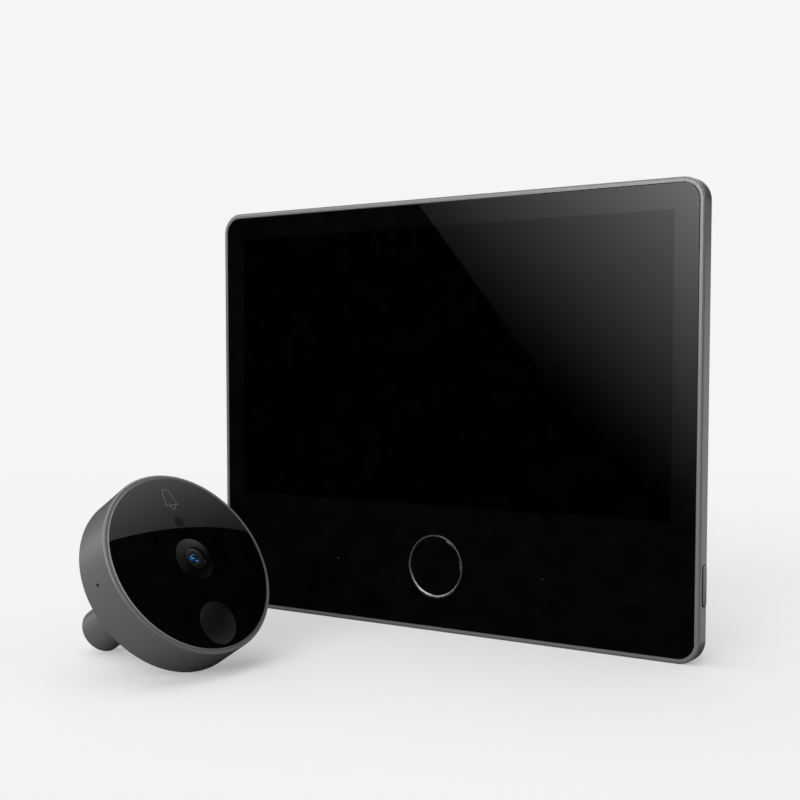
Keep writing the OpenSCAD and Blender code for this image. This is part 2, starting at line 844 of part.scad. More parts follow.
module home_switch() {
    color(part_black)
        translate([0, 0, home_z])
            difference() {
                slab(switch_front, chassis_back - switch_front)
                    square(switch_side, center = true);
                slab(switch_front - cut, plunger_well - switch_front + cut)
                    circle(plunger_r + plunger_gap);
            }
}

module chin_board() {
    color(board_green)
        slab(chassis_back, board_t)
            difference() {
                span(-chin_board_half, chin_board_low, chin_board_half, chin_board_high);
                at_each(chin_screw_places)
                    circle(board_screw_r + 2 * thread_gap);
            }
}

module microphones() {
    color(steel)
        slab(mic_front, mic_t)
            for (s = [-1, 1])
                translate([s * mic_x, home_z])
                    circle(mic_r);
}

module microphone_boots() {
    color(part_black)
        slab(glass_t, mic_front - glass_t)
            for (s = [-1, 1])
                translate([s * mic_x, home_z])
                    ring(mic_r, mic_hole_r);
}

module side_key() {
    color(shell_grey) {
        side_slab(key_flange_x, monitor_w / 2 + key_out - key_flange_x)
            translate([key_depth, key_z])
                pill(key_w, key_len);
        side_slab(key_flange_x, key_flange_t)
            translate([side_plunger_depth, key_z])
                square([chassis_depth - ledge_depth - 2 * key_gap, key_len + 2 * key_flange_reach],
                    center = true);
    }
}

module side_plunger() {
    color([0.7, 0.12, 0.1])
        side_slab(side_plunger_end, key_flange_x - side_plunger_end)
            translate([side_plunger_depth, key_z])
                circle(side_plunger_r);
}

module side_switch() {
    color(part_black)
        difference() {
            side_slab(side_switch_x - side_switch_deep, side_switch_deep)
                span(ledge_depth, key_z - side_switch_len / 2, chassis_depth, key_z + side_switch_len / 2);
            side_slab(side_plunger_well, side_switch_x - side_plunger_well + cut)
                translate([side_plunger_depth, key_z])
                    circle(side_plunger_r + plunger_gap);
        }
}

// Monitor: boards, battery, sockets and sound

module main_board() {
    color(board_green)
        slab(board_front, board_t)
            difference() {
                union() {
                    span(-board_left, board_low, contents_x, board_low + board_h);
                    span(port_x - tongue_w / 2, cavity_low + part_gap, port_x + tongue_w / 2, plate_z);
                }
                at_each(board_screw_places)
                    circle(board_screw_r + 2 * thread_gap);
            }
}

module processor_shield() {
    color(steel)
        slab(board_back, shield_t)
            translate([link_w / 2 + part_gap + shield_w / 2, plate_z])
                square([shield_w, shield_h], center = true);
}

module link_socket() {
    color([0.9, 0.88, 0.8])
        translate([0, 0, plate_z])
            difference() {
                slab(board_back, link_back - board_back)
                    square([link_w, link_h], center = true);
                slab(link_back - link_plug_depth, link_plug_depth + cut)
                    square([link_w - 2 * socket_wall, link_h - 2 * socket_wall], center = true);
            }
}

module charging_port() {
    color(steel)
        difference() {
            port_body(0, port_low, port_low + port_len);
            port_body(socket_wall, port_low - cut, port_low + port_len - socket_wall);
        }
}

// The charging port's flat oval, drawn in by a distance, between two heights
module port_body(inset, low, high) {
    translate([port_x, port_mid - foot_depth, low])
        linear_extrude(high - low)
            rotate(90)
                pill(port_h - 2 * inset, port_w - 2 * inset);
}

module battery_pack() {
    color([0.25, 0.27, 0.3])
        slab(chassis_back, battery_t)
            translate([-(contents_x + board_left + part_gap) / 2, battery_low + battery_h / 2])
                rounded_rect(contents_x - board_left - part_gap, battery_h, battery_round);
}

module loudspeaker() {
    color(part_black)
        slab(speaker_back - speaker_t, speaker_t)
            span(speaker_x - speaker_w / 2, speaker_low, speaker_x + speaker_w / 2, speaker_low + speaker_h);
}

module speaker_gasket() {
    color([0.2, 0.2, 0.2])
        slab(speaker_back, gasket_t)
            translate([speaker_x, speaker_low + speaker_h / 2])
                difference() {
                    square([speaker_w, speaker_h], center = true);
                    square([speaker_w - 2 * gasket_w, speaker_h - 2 * gasket_w], center = true);
                }
}

module aerial() {
    color([0.8, 0.55, 0.2])
        slab(cover_in - aerial_t, aerial_t)
            translate([-contents_x, plate_z])
                square([aerial_w, aerial_len], center = true);
}

module board_screws() {
    color(steel) {
        back_screws(board_screw_places, board_back, board_screw_head_r, board_screw_head_t,
            board_screw_r, board_t + standoff_h);
        back_screws(chin_screw_places, chassis_back + board_t, board_screw_head_r, board_screw_head_t,
            board_screw_r, board_t + chassis_t / 2);
    }
}

// Monitor: rear cover and door plate

module cover_body() {
    slab(chassis_back, band_depth - chassis_back)
        outline(frame_wall + fit_gap);
    slab(chassis_back, monitor_depth - cover_round - chassis_back)
        box_outline(0);
    slab(chassis_back, monitor_depth - chassis_back)
        box_outline(cover_round);
    translate([0, monitor_depth - cover_round - foot_depth, monitor_h / 2])
        rotate([-90, 0, 0])
            swept(monitor_w - 2 * cover_inset, monitor_h - 2 * cover_inset, cover_corner_r)
                translate([-cover_round, 0])
                    intersection() {
                        circle(cover_round);
                        square(cover_round);
                    }
}

module recess_outline(grow) {
    translate([0, recess_mid])
        rounded_rect(recess_w + 2 * grow, recess_h + 2 * grow, recess_corner_r + grow);
}

module keyholes() {
    for (p = hook_places)
        translate(p) {
            translate([0, -lift / 2])
                pill(2 * (hook_post_r + hook_gap), lift + 2 * (hook_post_r + hook_gap));
            translate([0, -lift])
                circle(hook_head_r + hook_gap);
        }
}

module rear_cover() {
    color(shell_grey)
        difference() {
            cover_body();
            difference() {
                slab(chassis_back - cut, cover_in - chassis_back + cut)
                    box_outline(cover_wall);
                slab(floor_in, cover_in - floor_in + cut)
                    recess_outline(cover_wall);
                slab(chassis_back, cover_in - chassis_back + cut)
                    at_each(cover_screw_places)
                        circle(boss_r);
            }
            slab(floor_out, recess_depth + cut)
                recess_outline(0);
            slab(floor_in - cut, cover_wall + 2 * cut) {
                keyholes();
                translate([0, plate_z])
                    square([link_w + 2 * socket_gap, link_h + 2 * socket_gap], center = true);
            }
            port_body(-socket_gap, 0, cavity_low + cut);
            slab(cover_in - cut, cover_wall + 2 * cut)
                for (i = [-2:2])
                    translate([speaker_x + i * slot_pitch, speaker_low + speaker_h / 2])
                        pill(slot_w, slot_len);
            slab(chassis_back - cut, monitor_depth - chassis_back + 2 * cut)
                at_each(cover_screw_places)
                    circle(cover_screw_r + well_gap);
            slab(monitor_depth - cover_well, cover_well + cut)
                at_each(cover_screw_places)
                    circle(cover_screw_head_r + well_gap);
        }
}

module cover_screws() {
    seat = monitor_depth - cover_well;
    color(steel)
        back_screws(cover_screw_places, seat, cover_screw_head_r, cover_screw_head_t, cover_screw_r,
            seat - chassis_depth - chassis_t / 4);
}

module door_plate() {
    color(steel) {
        slab(monitor_depth - plate_t, plate_t)
            difference() {
                translate([0, plate_z])
                    rounded_rect(plate_w, plate_h, recess_corner_r - plate_gap);
                translate([0, plate_z])
                    circle(cable_hole_r);
                at_each(door_screw_places)
                    circle(door_screw_hole_r);
            }
        slab(hook_front, monitor_depth - plate_t - hook_front)
            at_each(hook_places)
                circle(hook_post_r);
        slab(hook_front, hook_head_t)
            at_each(hook_places)
                circle(hook_head_r);
    }
}

// Outdoor camera: x to the right and y up on its face, z out of the face

// Stands the camera where it lies, on its back edge and the end of its stem
module lying() {
    translate([camera_x, -camera_front - foot_depth, camera_z])
        rotate([90 - camera_lean, 0, camera_turn])
            children();
}

// A plate of the camera between two depths
module layer(depth, thick) {
    translate([0, 0, -depth - thick])
        linear_extrude(thick)
            children();
}

// A block's outline with its two outer corners rounded, for turning: x outwards, y towards the face
module turned_block(r, low, high, low_round, high_round) {
    span(0, low + low_round, r, high - high_round);
    span(0, low, r - low_round, high);
    span(0, low, r - max(low_round, high_round), high);
    if (low_round > 0)
        translate([r - low_round, low + low_round])
            circle(low_round);
    if (high_round > 0)
        translate([r - high_round, high - high_round])
            circle(high_round);
}

module side_drill(turn, depth, r) {
    rotate(turn)
        translate([carrier_in_r - cut, 0, -depth])
            rotate([0, 90, 0])
                cylinder(r = r, h = housing_r - carrier_in_r + 2 * cut);
}

// The microphone hole at nine o'clock and the sound holes at six o'clock
module side_holes(r) {
    side_drill(180, side_hole_depth, r);
    for (i = [-1:1])
        side_drill(-90, sound_depth + i * sound_pitch, r);
}

function around(r, turn) = [r * cos(turn), r * sin(turn)];
housing_screw_places = [for (t = housing_screw_turns) around(housing_screw_at, t)];
chime_place = around(chime_at, chime_turn);

module camera_housing() {
    color(shell_grey)
        lying()
            difference() {
                rotate_extrude()
                    turned_block(housing_r, -housing_depth, -rim_set, housing_round, housing_round);
                layer(-cut, camera_ledge + cut)
                    circle(glass_seat_r);
                difference() {
                    layer(0, housing_floor)
                        circle(housing_in_r);
                    layer(camera_board_back, camera_boss_h + cut)
                        at_each(housing_screw_places)
                            circle(camera_boss_r);
                }
                layer(camera_board_back - cut, camera_board_front + housing_screw_len + thread_gap
                        - camera_board_back + cut)
                    at_each(housing_screw_places)
                        circle(housing_screw_r + thread_gap);
                layer(housing_floor - cut, housing_back_t + 2 * cut)
                    circle(spigot_r + spigot_gap);
                layer(housing_depth - pad_groove, pad_groove + cut)
                    ring(housing_r - pad_edge, pad_in_r);
                side_holes(side_hole_r);
            }
}

module stem() {
    color(shell_grey)
        lying()
            difference() {
                union() {
                    rotate_extrude()
                        turned_block(stem_r, -stem_end, -housing_depth, housing_round, 0);
                    layer(housing_floor, housing_back_t)
                        circle(spigot_r);
                }
                layer(housing_floor - cut, stem_end - housing_floor + 2 * cut)
                    circle(stem_bore_r);
            }
}

module weather_pad() {
    color(part_black)
        lying()
            layer(housing_depth - pad_groove, pad_t)
                ring(housing_r - pad_edge - pad_gap, pad_in_r + pad_gap);
}

// The glass before its holes are cut: flat behind, crowned in front
module glass_blank() {
    rotate_extrude()
        intersection() {
            translate([0, crown_h - crown_r])
                circle(crown_r, $fn = curve_fn);
            span(0, -camera_glass_t, camera_glass_r, crown_h);
        }
}

// A round post through the glass at a height above its middle
module glass_post(up, r) {
    translate([0, up, -camera_glass_t - cut])
        cylinder(r = r, h = camera_glass_t + crown_h + 2 * cut);
}

module camera_glass() {
    color(glass_black)
        lying()
            difference() {
                glass_blank();
                glass_post(pir_window_up, pir_window_r + pir_window_gap);
                glass_post(light_up, pipe_r + lens_gap);
                glass_post(0, lens_hole_r);
            }
}

module motion_window() {
    color([0.1, 0.1, 0.1])
        lying()
            intersection() {
                glass_blank();
                glass_post(pir_window_up, pir_window_r);
            }
}

module glass_seal() {
    color(part_black)
        lying()
            layer(camera_glass_t, seal_t)
                ring(camera_glass_r, housing_in_r);
}

module bell_touch_pad() {
    color([0.8, 0.55, 0.2])
        lying()
            layer(camera_glass_t, touch_t)
                translate([0, touch_up])
                    circle(touch_r);
}

module camera_carrier() {
    color(part_black)
        lying()
            difference() {
                union() {
                    layer(carrier_front, camera_board_front - carrier_front)
                        ring(carrier_out_r, carrier_in_r);
                    layer(carrier_plate, carrier_plate_t)
                        difference() {
                            circle(carrier_in_r + carrier_wall / 2);
                            circle(max(shroud_r, barrel_r + holder_wall) + carrier_gap);
                            translate([0, light_up])
                                circle(pipe_r + carrier_gap);
                            translate([0, pir_up])
                                circle(pir_can_r + pir_flange_w + carrier_gap);
                            for (s = [-1, 1])
                                translate([s * lamp_x, lamp_up])
                                    circle(lamp_dome_r + window_gap);
                            at_each(housing_screw_places)
                                circle(housing_screw_head_r + carrier_gap);
                        }
                }
                side_drill(180, side_hole_depth, side_mic_r + lens_gap);
                for (i = [-1:1])
                    side_drill(-90, sound_depth + i * sound_pitch, side_hole_r);
            }
}

// A tube through the glass, whose rounded front stands a little proud and leaves the lens open
module lens_shroud() {
    throat = barrel_front - carrier_gap;
    tip = shroud_front - shroud_rise;
    color(part_black)
        lying()
            difference() {
                intersection() {
                    layer(tip, holder_front - tip)
                        circle(shroud_r);
                    translate([0, 0, -tip - shroud_curve])
                        sphere(shroud_curve);
                }
                layer(tip - cut, throat - tip + 2 * cut)
                    circle(shroud_throat_r);
                layer(throat, holder_front - throat + cut)
                    circle(barrel_r + lens_gap);
            }
}

module lens_barrel() {
    color(part_black)
        lying()
            difference() {
                layer(barrel_front, barrel_back - barrel_front)
                    circle(barrel_r);
                layer(barrel_front - cut, front_lens_edge + cut)
                    circle(front_lens_r + lens_gap);
                layer(front_lens_seat - cut, rear_lens_front - front_lens_seat + 2 * cut)
                    circle(light_way_r);
                layer(rear_lens_front, rear_lens_t + cut)
                    circle(rear_lens_r + lens_gap);
            }
}

module front_lens() {
    color([0.1, 0.2, 0.45])
        lying()
            intersection() {
                layer(barrel_front - cut, front_lens_edge + cut)
                    circle(front_lens_r);
                translate([0, 0, -barrel_front - sqrt(front_lens_curve ^ 2 - front_lens_r ^ 2)])
                    sphere(front_lens_curve);
            }
}

module rear_lens() {
    color([0.15, 0.25, 0.4])
        lying()
            layer(rear_lens_front, rear_lens_t)
                circle(rear_lens_r);
}

module lens_holder() {
    shelf_back = barrel_back + shelf_t;
    color(part_black)
        lying()
            difference() {
                layer(holder_front, holder_h)
                    circle(barrel_r + holder_wall);
                layer(holder_front - cut, barrel_back - holder_front + cut)
                    circle(barrel_r + lens_gap);
                layer(holder_front, holder_h)
                    circle(shelf_way_r);
                layer(shelf_back, camera_board_front - shelf_back + cut)
                    circle(lens_cavity_r);
            }
}

module infrared_filter() {
    color([0.5, 0.2, 0.25])
        lying()
            layer(barrel_back + shelf_t, filter_t)
                circle(filter_r);
}

module image_sensor() {
    color([0.12, 0.12, 0.16])
        lying()
            layer(camera_board_front - sensor_t, sensor_t)
                square([sensor_w, sensor_h], center = true);
}

module camera_board() {
    color(board_green)
        lying()
            layer(camera_board_front, camera_board_t)
                difference() {
                    circle(carrier_out_r);
                    at_each(housing_screw_places)
                        circle(housing_screw_r + 2 * thread_gap);
                }
}

module light_pipe() {
    back = camera_board_front - light_sensor_t - carrier_gap;
    color([0.12, 0.12, 0.13])
        lying() {
            intersection() {
                glass_blank();
                glass_post(light_up, pipe_r);
            }
            layer(camera_glass_t, back - camera_glass_t)
                translate([0, light_up])
                    circle(pipe_r);
        }
}

module light_sensor() {
    color([0.1, 0.1, 0.12])
        lying()
            layer(camera_board_front - light_sensor_t, light_sensor_t)
                translate([0, light_up])
                    square(light_sensor_side, center = true);
}

module infrared_lamps() {
    color([0.75, 0.75, 0.7])
        lying()
            for (s = [-1, 1])
                translate([s * lamp_x, lamp_up, -camera_board_front])
                    union() {
                        linear_extrude(lamp_base_t)
                            square(lamp_side, center = true);
                        translate([0, 0, lamp_base_t])
                            intersection() {
                                sphere(lamp_dome_r);
                                cylinder(r = lamp_dome_r + cut, h = lamp_dome_r + cut);
                            }
                    }
}

module motion_sensor() {
    color(steel)
        lying() {
            layer(camera_board_front - pir_can_h, pir_can_h)
                translate([0, pir_up])
                    circle(pir_can_r);
            layer(camera_board_front - pir_flange_t, pir_flange_t)
                translate([0, pir_up])
                    circle(pir_can_r + pir_flange_w);
        }
}

module chime_speaker() {
    color(part_black)
        lying()
            layer(camera_board_front - chime_t, chime_t)
                translate(chime_place)
                    circle(chime_r);
}

module camera_microphone() {
    color(steel)
        lying()
            translate([-side_mic_face, 0, -side_hole_depth])
                rotate([0, 90, 0])
                    cylinder(r = side_mic_r, h = side_mic_len);
}

module housing_screws() {
    color(steel)
        lying()
            difference() {
                union() {
                    layer(camera_board_front - housing_screw_head_t, housing_screw_head_t)
                        at_each(housing_screw_places)
                            circle(housing_screw_head_r);
                    layer(camera_board_front, housing_screw_len)
                        at_each(housing_screw_places)
                            circle(housing_screw_r);
                }
                layer(camera_board_front - housing_screw_head_t - cut, housing_screw_head_t / 2 + cut)
                    at_each(housing_screw_places)
                        circle(housing_screw_head_r / 2, $fn = 6);
            }
}

module camera_link_socket() {
    color([0.9, 0.88, 0.8])
        lying()
            layer(camera_board_back, camera_boss_h - camera_link_gap)
                square([camera_link_w, camera_link_h], center = true);
}

front_frame();
cover_glass();
glass_tape();
display_cell();
backlight_unit();
chassis_plate();
chassis_screws();
home_ring();
home_button();
home_plunger();
home_switch();
chin_board();
microphones();
microphone_boots();
side_key();
side_plunger();
side_switch();
main_board();
processor_shield();
link_socket();
charging_port();
battery_pack();
loudspeaker();
speaker_gasket();
aerial();
board_screws();
rear_cover();
cover_screws();
door_plate();
camera_housing();
stem();
weather_pad();
camera_glass();
glass_seal();
motion_window();
bell_touch_pad();
camera_carrier();
lens_shroud();
lens_barrel();
front_lens();
rear_lens();
lens_holder();
infrared_filter();
image_sensor();
camera_board();
light_pipe();
light_sensor();
infrared_lamps();
motion_sensor();
chime_speaker();
camera_microphone();
housing_screws();
camera_link_socket();
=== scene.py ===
"""Peephole door camera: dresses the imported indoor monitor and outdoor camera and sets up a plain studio."""

import json
import math

import bmesh
import bpy
from bpy.props import FloatProperty, FloatVectorProperty, PointerProperty
from mathutils import Matrix, Vector

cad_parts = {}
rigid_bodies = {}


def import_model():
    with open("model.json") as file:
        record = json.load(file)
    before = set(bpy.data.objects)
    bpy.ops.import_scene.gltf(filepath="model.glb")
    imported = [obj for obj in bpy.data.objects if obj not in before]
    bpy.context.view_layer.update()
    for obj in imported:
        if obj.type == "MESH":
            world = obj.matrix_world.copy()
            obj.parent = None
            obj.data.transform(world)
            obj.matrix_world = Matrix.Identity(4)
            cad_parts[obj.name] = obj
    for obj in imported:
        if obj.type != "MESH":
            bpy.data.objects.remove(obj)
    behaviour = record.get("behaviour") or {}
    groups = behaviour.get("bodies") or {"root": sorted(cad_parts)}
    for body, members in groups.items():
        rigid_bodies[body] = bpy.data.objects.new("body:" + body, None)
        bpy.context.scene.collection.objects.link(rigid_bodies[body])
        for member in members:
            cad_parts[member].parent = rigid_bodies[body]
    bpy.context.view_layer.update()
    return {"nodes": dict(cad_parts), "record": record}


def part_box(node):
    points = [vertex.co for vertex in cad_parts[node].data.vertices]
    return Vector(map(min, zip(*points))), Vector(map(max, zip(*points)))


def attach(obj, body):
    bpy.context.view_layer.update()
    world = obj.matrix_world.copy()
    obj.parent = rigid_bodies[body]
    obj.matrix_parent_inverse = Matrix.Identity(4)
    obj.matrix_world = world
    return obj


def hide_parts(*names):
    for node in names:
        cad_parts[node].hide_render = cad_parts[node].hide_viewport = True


bl_info = {
    "name": "Peephole door camera",
    "version": (1, 0, 0),
    "blender": (4, 5, 0),
    "location": "View3D > Sidebar > Door camera",
    "description": "Dresses a two-unit door camera: an indoor monitor and its round outdoor camera",
    "category": "Object",
}

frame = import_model()
MM = 0.001
MOUNTS = {mount["name"]: mount for mount in frame["record"]["mounts"]}

# Lengths in metres that go with the solids and aren't for a user to change
GLASS_PLANE = 29.3 * MM  # from the cable way's mount to the plane of the camera glass's edge
RING_HOLE = 9.775 * MM  # radius of the cover glass's hole for the home ring
HOLE_REACH = 1 * MM  # faces this near to a microphone hole's middle belong to the hole
RIM_REACH = 50 * MM  # edges farther out on the cover glass belong to its rim
HOLE_WALL = 0.01 * MM  # faces this near to the lens hole's edge are its wall
SIDE_WALL = 0.05 * MM  # faces this near to the camera glass's edge are its side
KEY_ROUNDING = 0.2 * MM
SEAL_LIP, SEAL_HEIGHT = 0.14 * MM, 0.9 * MM
SEAL_END_PLAY = 0.06 * MM  # more room at the side key's ends than along it
GAUZE_DEPTH, GAUZE_THICKNESS, GAUZE_PLAY = 0.25 * MM, 0.08 * MM, 0.02 * MM
WINDOW_PLAY = 0.05 * MM  # room round the windows in the camera's glass
WINDOW_SINK = 0.03 * MM  # how far the motion window lies below the glass
DRILL_LENGTH = 20 * MM
INK_THICKNESS = 0.02 * MM
FLAT, SAME_POINT = 1e-6, 1e-7  # heights that count as none, and distances that do
UPRIGHT = 0.1  # a face whose normal rises less than this is a wall
SHARP = 1  # faces that turn by more radians than this meet in a sharp edge
PILL = 0.4999  # a pill's corner radius over its width, short of one half so that no two corners meet

# Profiles of turned pieces: radius and height in millimetres
RING_PROFILE = (
    (9.725, -1.05), (9.725, -0.04), (9.69, 0.0), (9.42, 0.0), (9.36, -0.015),
    (9.28, -0.05), (9.2, -0.12), (9.13, -0.22), (9.075, -0.36), (9.075, -1.05),
)
BARREL_PROFILE = (
    (4.9, -1), (4.9, 1.45), (3.0, 1.5), (2.9, 1.56), (2.0, 1.6),
    (1.6, 1.66), (1.5, 1.62), (1.46, 1.4), (1.46, -1),
)

TONE_STOPS = (0.3, 0.7)  # where a finish's darker and lighter tone stand in its pattern

# The stage: metres, degrees and strengths of light
EYE = Vector((213.41, -338.89, 82.93)) * MM
MIRRORED_EYE = Vector((213.41, 333.39, 82.93)) * MM  # the eye, as the monitor's glass mirrors it
EYE_TILT, EYE_TURN = 86.5, 33.978
SENSOR_WIDTH, FOCAL_LENGTH, LENS_SHIFT, NEAREST = 36, 58.095, 0.0547, 0.01
ROOM_LIGHT, ROOM_SEEN = 0.42, 1.0
FLOOR_RADIUS, FLOOR_LIFT = 30, 0.34
FLOOR_FADE = (0.3, 0.8)  # where the floor begins and ends to run out into the white
TENT_RADIUS = 8
PANEL_SIZE, PANEL_MIDDLE, PANEL_HEIGHT = (2.8, 5.2), (0.6, 2.0, 0), 2.0
PANEL_EDGE, PANEL_EDGE_NORMAL = (1.45, 0, 0), (1.316, 0.151, 0)
PANEL_FALL, PANEL_START, PANEL_LIMIT = (-1.575, -0.877, 0), 2.4, 1.6  # its light falls off as an exponent
CARD_SIZE, CARD_REACH, CARD_TURN, CARD_RISE = 0.72, 1.5, 26, 2
CARD_EDGE, CARD_SLOPE = (33.1, 7.0), (13.3, 9.7)  # a point on the card's cut edge, and how that edge runs
RAMP_TURN, RAMP_SCALE, RAMP_START, RAMP_LIGHT = -132.3, 2.5665, 0.2561, 5.76
SOFT_CARD_DISTANCE = 3
SOFT_CARDS = (  # name, azimuth, elevation, width, height, strength
    ("front_left_card", -135, 30, 4.4, 1.9, 1.8),
    ("back_card", 58, -3, 3.4, 1.1, 0.68),
    ("right_card", -18, 40, 2.0, 1.8, 0.9),
)
LAMPS = (  # name, direction, spread, strength
    ("upper_light", (-0.38, 0.1, 1.0), 70, 1.35),
    ("front_light", (0.2, -1.0, 0.45), 50, 2.3),
)


# Frames of the two units


def monitor_frame():
    """Stands on the monitor's glass below the picture: x to the right, y up, z out of the glass."""
    low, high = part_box("home_ring")
    middle = (low + high) / 2
    out = Matrix(((1, 0, 0), (0, 0, -1), (0, 1, 0))).to_4x4()
    return Matrix.Translation((middle.x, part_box("cover_glass")[0].y, middle.z)) @ out


def camera_frame():
    """Stands in the middle of the camera glass's edge plane: x level, y up the face, z out of the glass."""
    bore = MOUNTS["stem_cable_way"]
    out = -Vector(bore["axis"]).normalized()
    level = Vector((0, 0, 1)).cross(out).normalized()
    up = out.cross(level)
    middle = Vector(bore["pos_m"]) + out * GLASS_PLANE
    return Matrix.Translation(middle) @ Matrix((level, up, out)).transposed().to_4x4()


def side_frame():
    """Stands on the middle of the side key: x towards the back, y up, z out of the monitor's side."""
    low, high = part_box("side_key")
    middle = (low + high) / 2
    out = Matrix(((0, 0, 1), (1, 0, 0), (0, 1, 0))).to_4x4()
    return Matrix.Translation((high.x, middle.y, middle.z)) @ out


# Small helpers for materials and meshes


def linear(code):
    """An sRGB hex colour as linear red, green, blue and alpha."""
    parts = [int(code[i : i + 2], 16) / 255 for i in (1, 3, 5)]
    return (*[p / 12.92 if p <= 0.04045 else ((p + 0.055) / 1.055) ** 2.4 for p in parts], 1.0)


def add(tree, kind, settings=None, links=None):
    """Adds one node, sets its sockets or properties, and links its inputs."""
    node = tree.nodes.new(kind)
    for key, value in (settings or {}).items():
        if isinstance(key, int) or key in node.inputs:
            node.inputs[key].default_value = value
        else:
            setattr(node, key, value)
    for key, (source, output) in (links or {}).items():
        tree.links.new(source.outputs[output], node.inputs[key])
    return node


def blank_material(name):
    """A new material and its node tree, which is empty."""
    made = bpy.data.materials.new(name)
    made.use_nodes = True
    made.node_tree.nodes.clear()
    return made, made.node_tree


def finish(name, tones, rough, grain, bump, pattern="ShaderNodeTexNoise", stretch=(1, 1, 1), **shader):
    """A material whose tone, gloss and relief follow one pattern. Grain and bump are in millimetres."""
    made = bpy.data.materials.get(name)
    if made:
        return made
    made, tree = blank_material(name)
    place = add(tree, "ShaderNodeTexCoord")
    turned = add(tree, "ShaderNodeMapping", {"Scale": stretch}, {"Vector": (place, "Object")})
    texture = add(tree, pattern, {"Scale": 1 / (grain * MM)}, {"Vector": (turned, "Vector")})
    value = (texture, "Fac")
    tone = add(tree, "ShaderNodeValToRGB", links={"Fac": value})
    for stop, code, at in zip(tone.color_ramp.elements, tones, TONE_STOPS):
        stop.color = linear(code) if isinstance(code, str) else code
        stop.position = at
    gloss = add(tree, "ShaderNodeMapRange", {"To Min": rough[0], "To Max": rough[1]}, {"Value": value})
    relief = add(tree, "ShaderNodeBump", {"Distance": bump * MM}, {"Height": value})
    links = {"Base Color": (tone, "Color"), "Roughness": (gloss, "Result"), "Normal": (relief, "Normal")}
    settings = {key.replace("_", " "): setting for key, setting in shader.items()}
    surface = add(tree, "ShaderNodeBsdfPrincipled", settings, links)
    add(tree, "ShaderNodeOutputMaterial", links={"Surface": (surface, "BSDF")})
    return made


def plain_light(tree, settings=None, links=None):
    """Ends a material's tree in plain light."""
    light = add(tree, "ShaderNodeEmission", settings, links)
    add(tree, "ShaderNodeOutputMaterial", links={"Surface": (light, "Emission")})


def linked_object(bm, name, *materials):
    """Turns a bmesh into an object of the scene."""
    mesh = bpy.data.meshes.new(name)
    bm.to_mesh(mesh)
    bm.free()
    for material in materials:
        mesh.materials.append(material)
    made = bpy.data.objects.new(name, mesh)
    bpy.context.scene.collection.objects.link(made)
    return made


def piece(bm, name, body, materials, matrix=None, replaces=(), smooth=40):
    """Turns a bmesh into a finished object that rides on a body, with its place in its mesh."""
    bmesh.ops.remove_doubles(bm, verts=bm.verts, dist=SAME_POINT)
    bmesh.ops.recalc_face_normals(bm, faces=bm.faces)
    if matrix is not None:
        bmesh.ops.transform(bm, matrix=matrix, verts=bm.verts)
    for face in bm.faces:
        face.smooth = smooth > 0
    for edge in bm.edges:
        if len(edge.link_faces) == 2 and edge.calc_face_angle() > math.radians(smooth):
            edge.smooth = False
    made = linked_object(bm, name, *materials)
    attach(made, body)
    if replaces:
        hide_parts(*replaces)
    return made


def stage_object(bm, name, material):
    """Turns a bmesh into an object of the stage."""
    made = linked_object(bm, name, material)
    return made


def only_mirrored(made):
    """Leaves an object of the stage to mirrors alone."""
    made.visible_camera = made.visible_diffuse = made.visible_shadow = made.visible_transmission = False
    return made


def dress(material, *nodes):
    """Gives CAD nodes a material."""
    for name in nodes:
        node = frame["nodes"][name]
        if not node.material_slots:
            node.data.materials.append(material)
        for slot in node.material_slots:
            slot.material = material


def drill(made, place, radius):
    """Cuts a round hole along z through a finished piece."""
    bm = bmesh.new()
    bmesh.ops.create_cone(
        bm, cap_ends=True, segments=96, radius1=radius, radius2=radius, depth=DRILL_LENGTH,
        matrix=Matrix.Translation(place),
    )
    cutter = linked_object(bm, "drill")
    mesh = cutter.data
    cut = made.modifiers.new("drill", "BOOLEAN")
    cut.operation, cut.solver, cut.object = "DIFFERENCE", "EXACT", cutter
    bpy.context.view_layer.update()
    shaped = bpy.data.meshes.new_from_object(made.evaluated_get(bpy.context.evaluated_depsgraph_get()))
    made.modifiers.remove(cut)
    bpy.data.objects.remove(cutter)
    bpy.data.meshes.remove(mesh)
    shaped.name = made.name
    made.data = shaped


def crown_ball(sizes):
    """Radius of the ball that the camera glass's crown is a part of."""
    return (sizes.camera_glass_radius**2 + sizes.crown**2) / (2 * sizes.crown)


def crown_height(sizes, far):
    """Height of the camera glass's crown at a distance from its middle."""
    ball = crown_ball(sizes)
    return sizes.crown - ball + math.sqrt(ball**2 - far**2)


def turned_profile(bm, points, steps):
    """A closed profile of (radius, height) points in millimetres, turned about z."""
    verts = [bm.verts.new((r * MM, 0, z * MM)) for r, z in points]
    edges = [bm.edges.new((a, b)) for a, b in zip(verts, verts[1:] + verts[:1])]
    bmesh.ops.spin(
        bm, geom=verts + edges, cent=(0, 0, 0), axis=(0, 0, 1), angle=2 * math.pi, steps=steps,
        use_merge=True,
    )


def bevel(bm, parts, width, affect, segments):
    """Rounds edges or corners."""
    return bmesh.ops.bevel(
        bm, geom=list(parts), offset=width, offset_type="OFFSET", affect=affect,
        segments=segments, profile=0.5, material=-1,
    )


def rectangle(bm, width, height):
    """A flat rectangle about the origin in x and y, given back as its corners."""
    corners = bmesh.ops.create_grid(bm, x_segments=1, y_segments=1, size=0.5)["verts"]
    bmesh.ops.scale(bm, vec=(width, height, 1), verts=corners)
    return corners


def rounded_face(bm, width, height, radius, segments=12):
    """A flat face with rounded corners in x and y."""
    corners = bevel(bm, rectangle(bm, width, height), radius, "VERTICES", segments)["verts"]
    return max({face for vert in corners for face in vert.link_faces}, key=lambda face: face.calc_area())


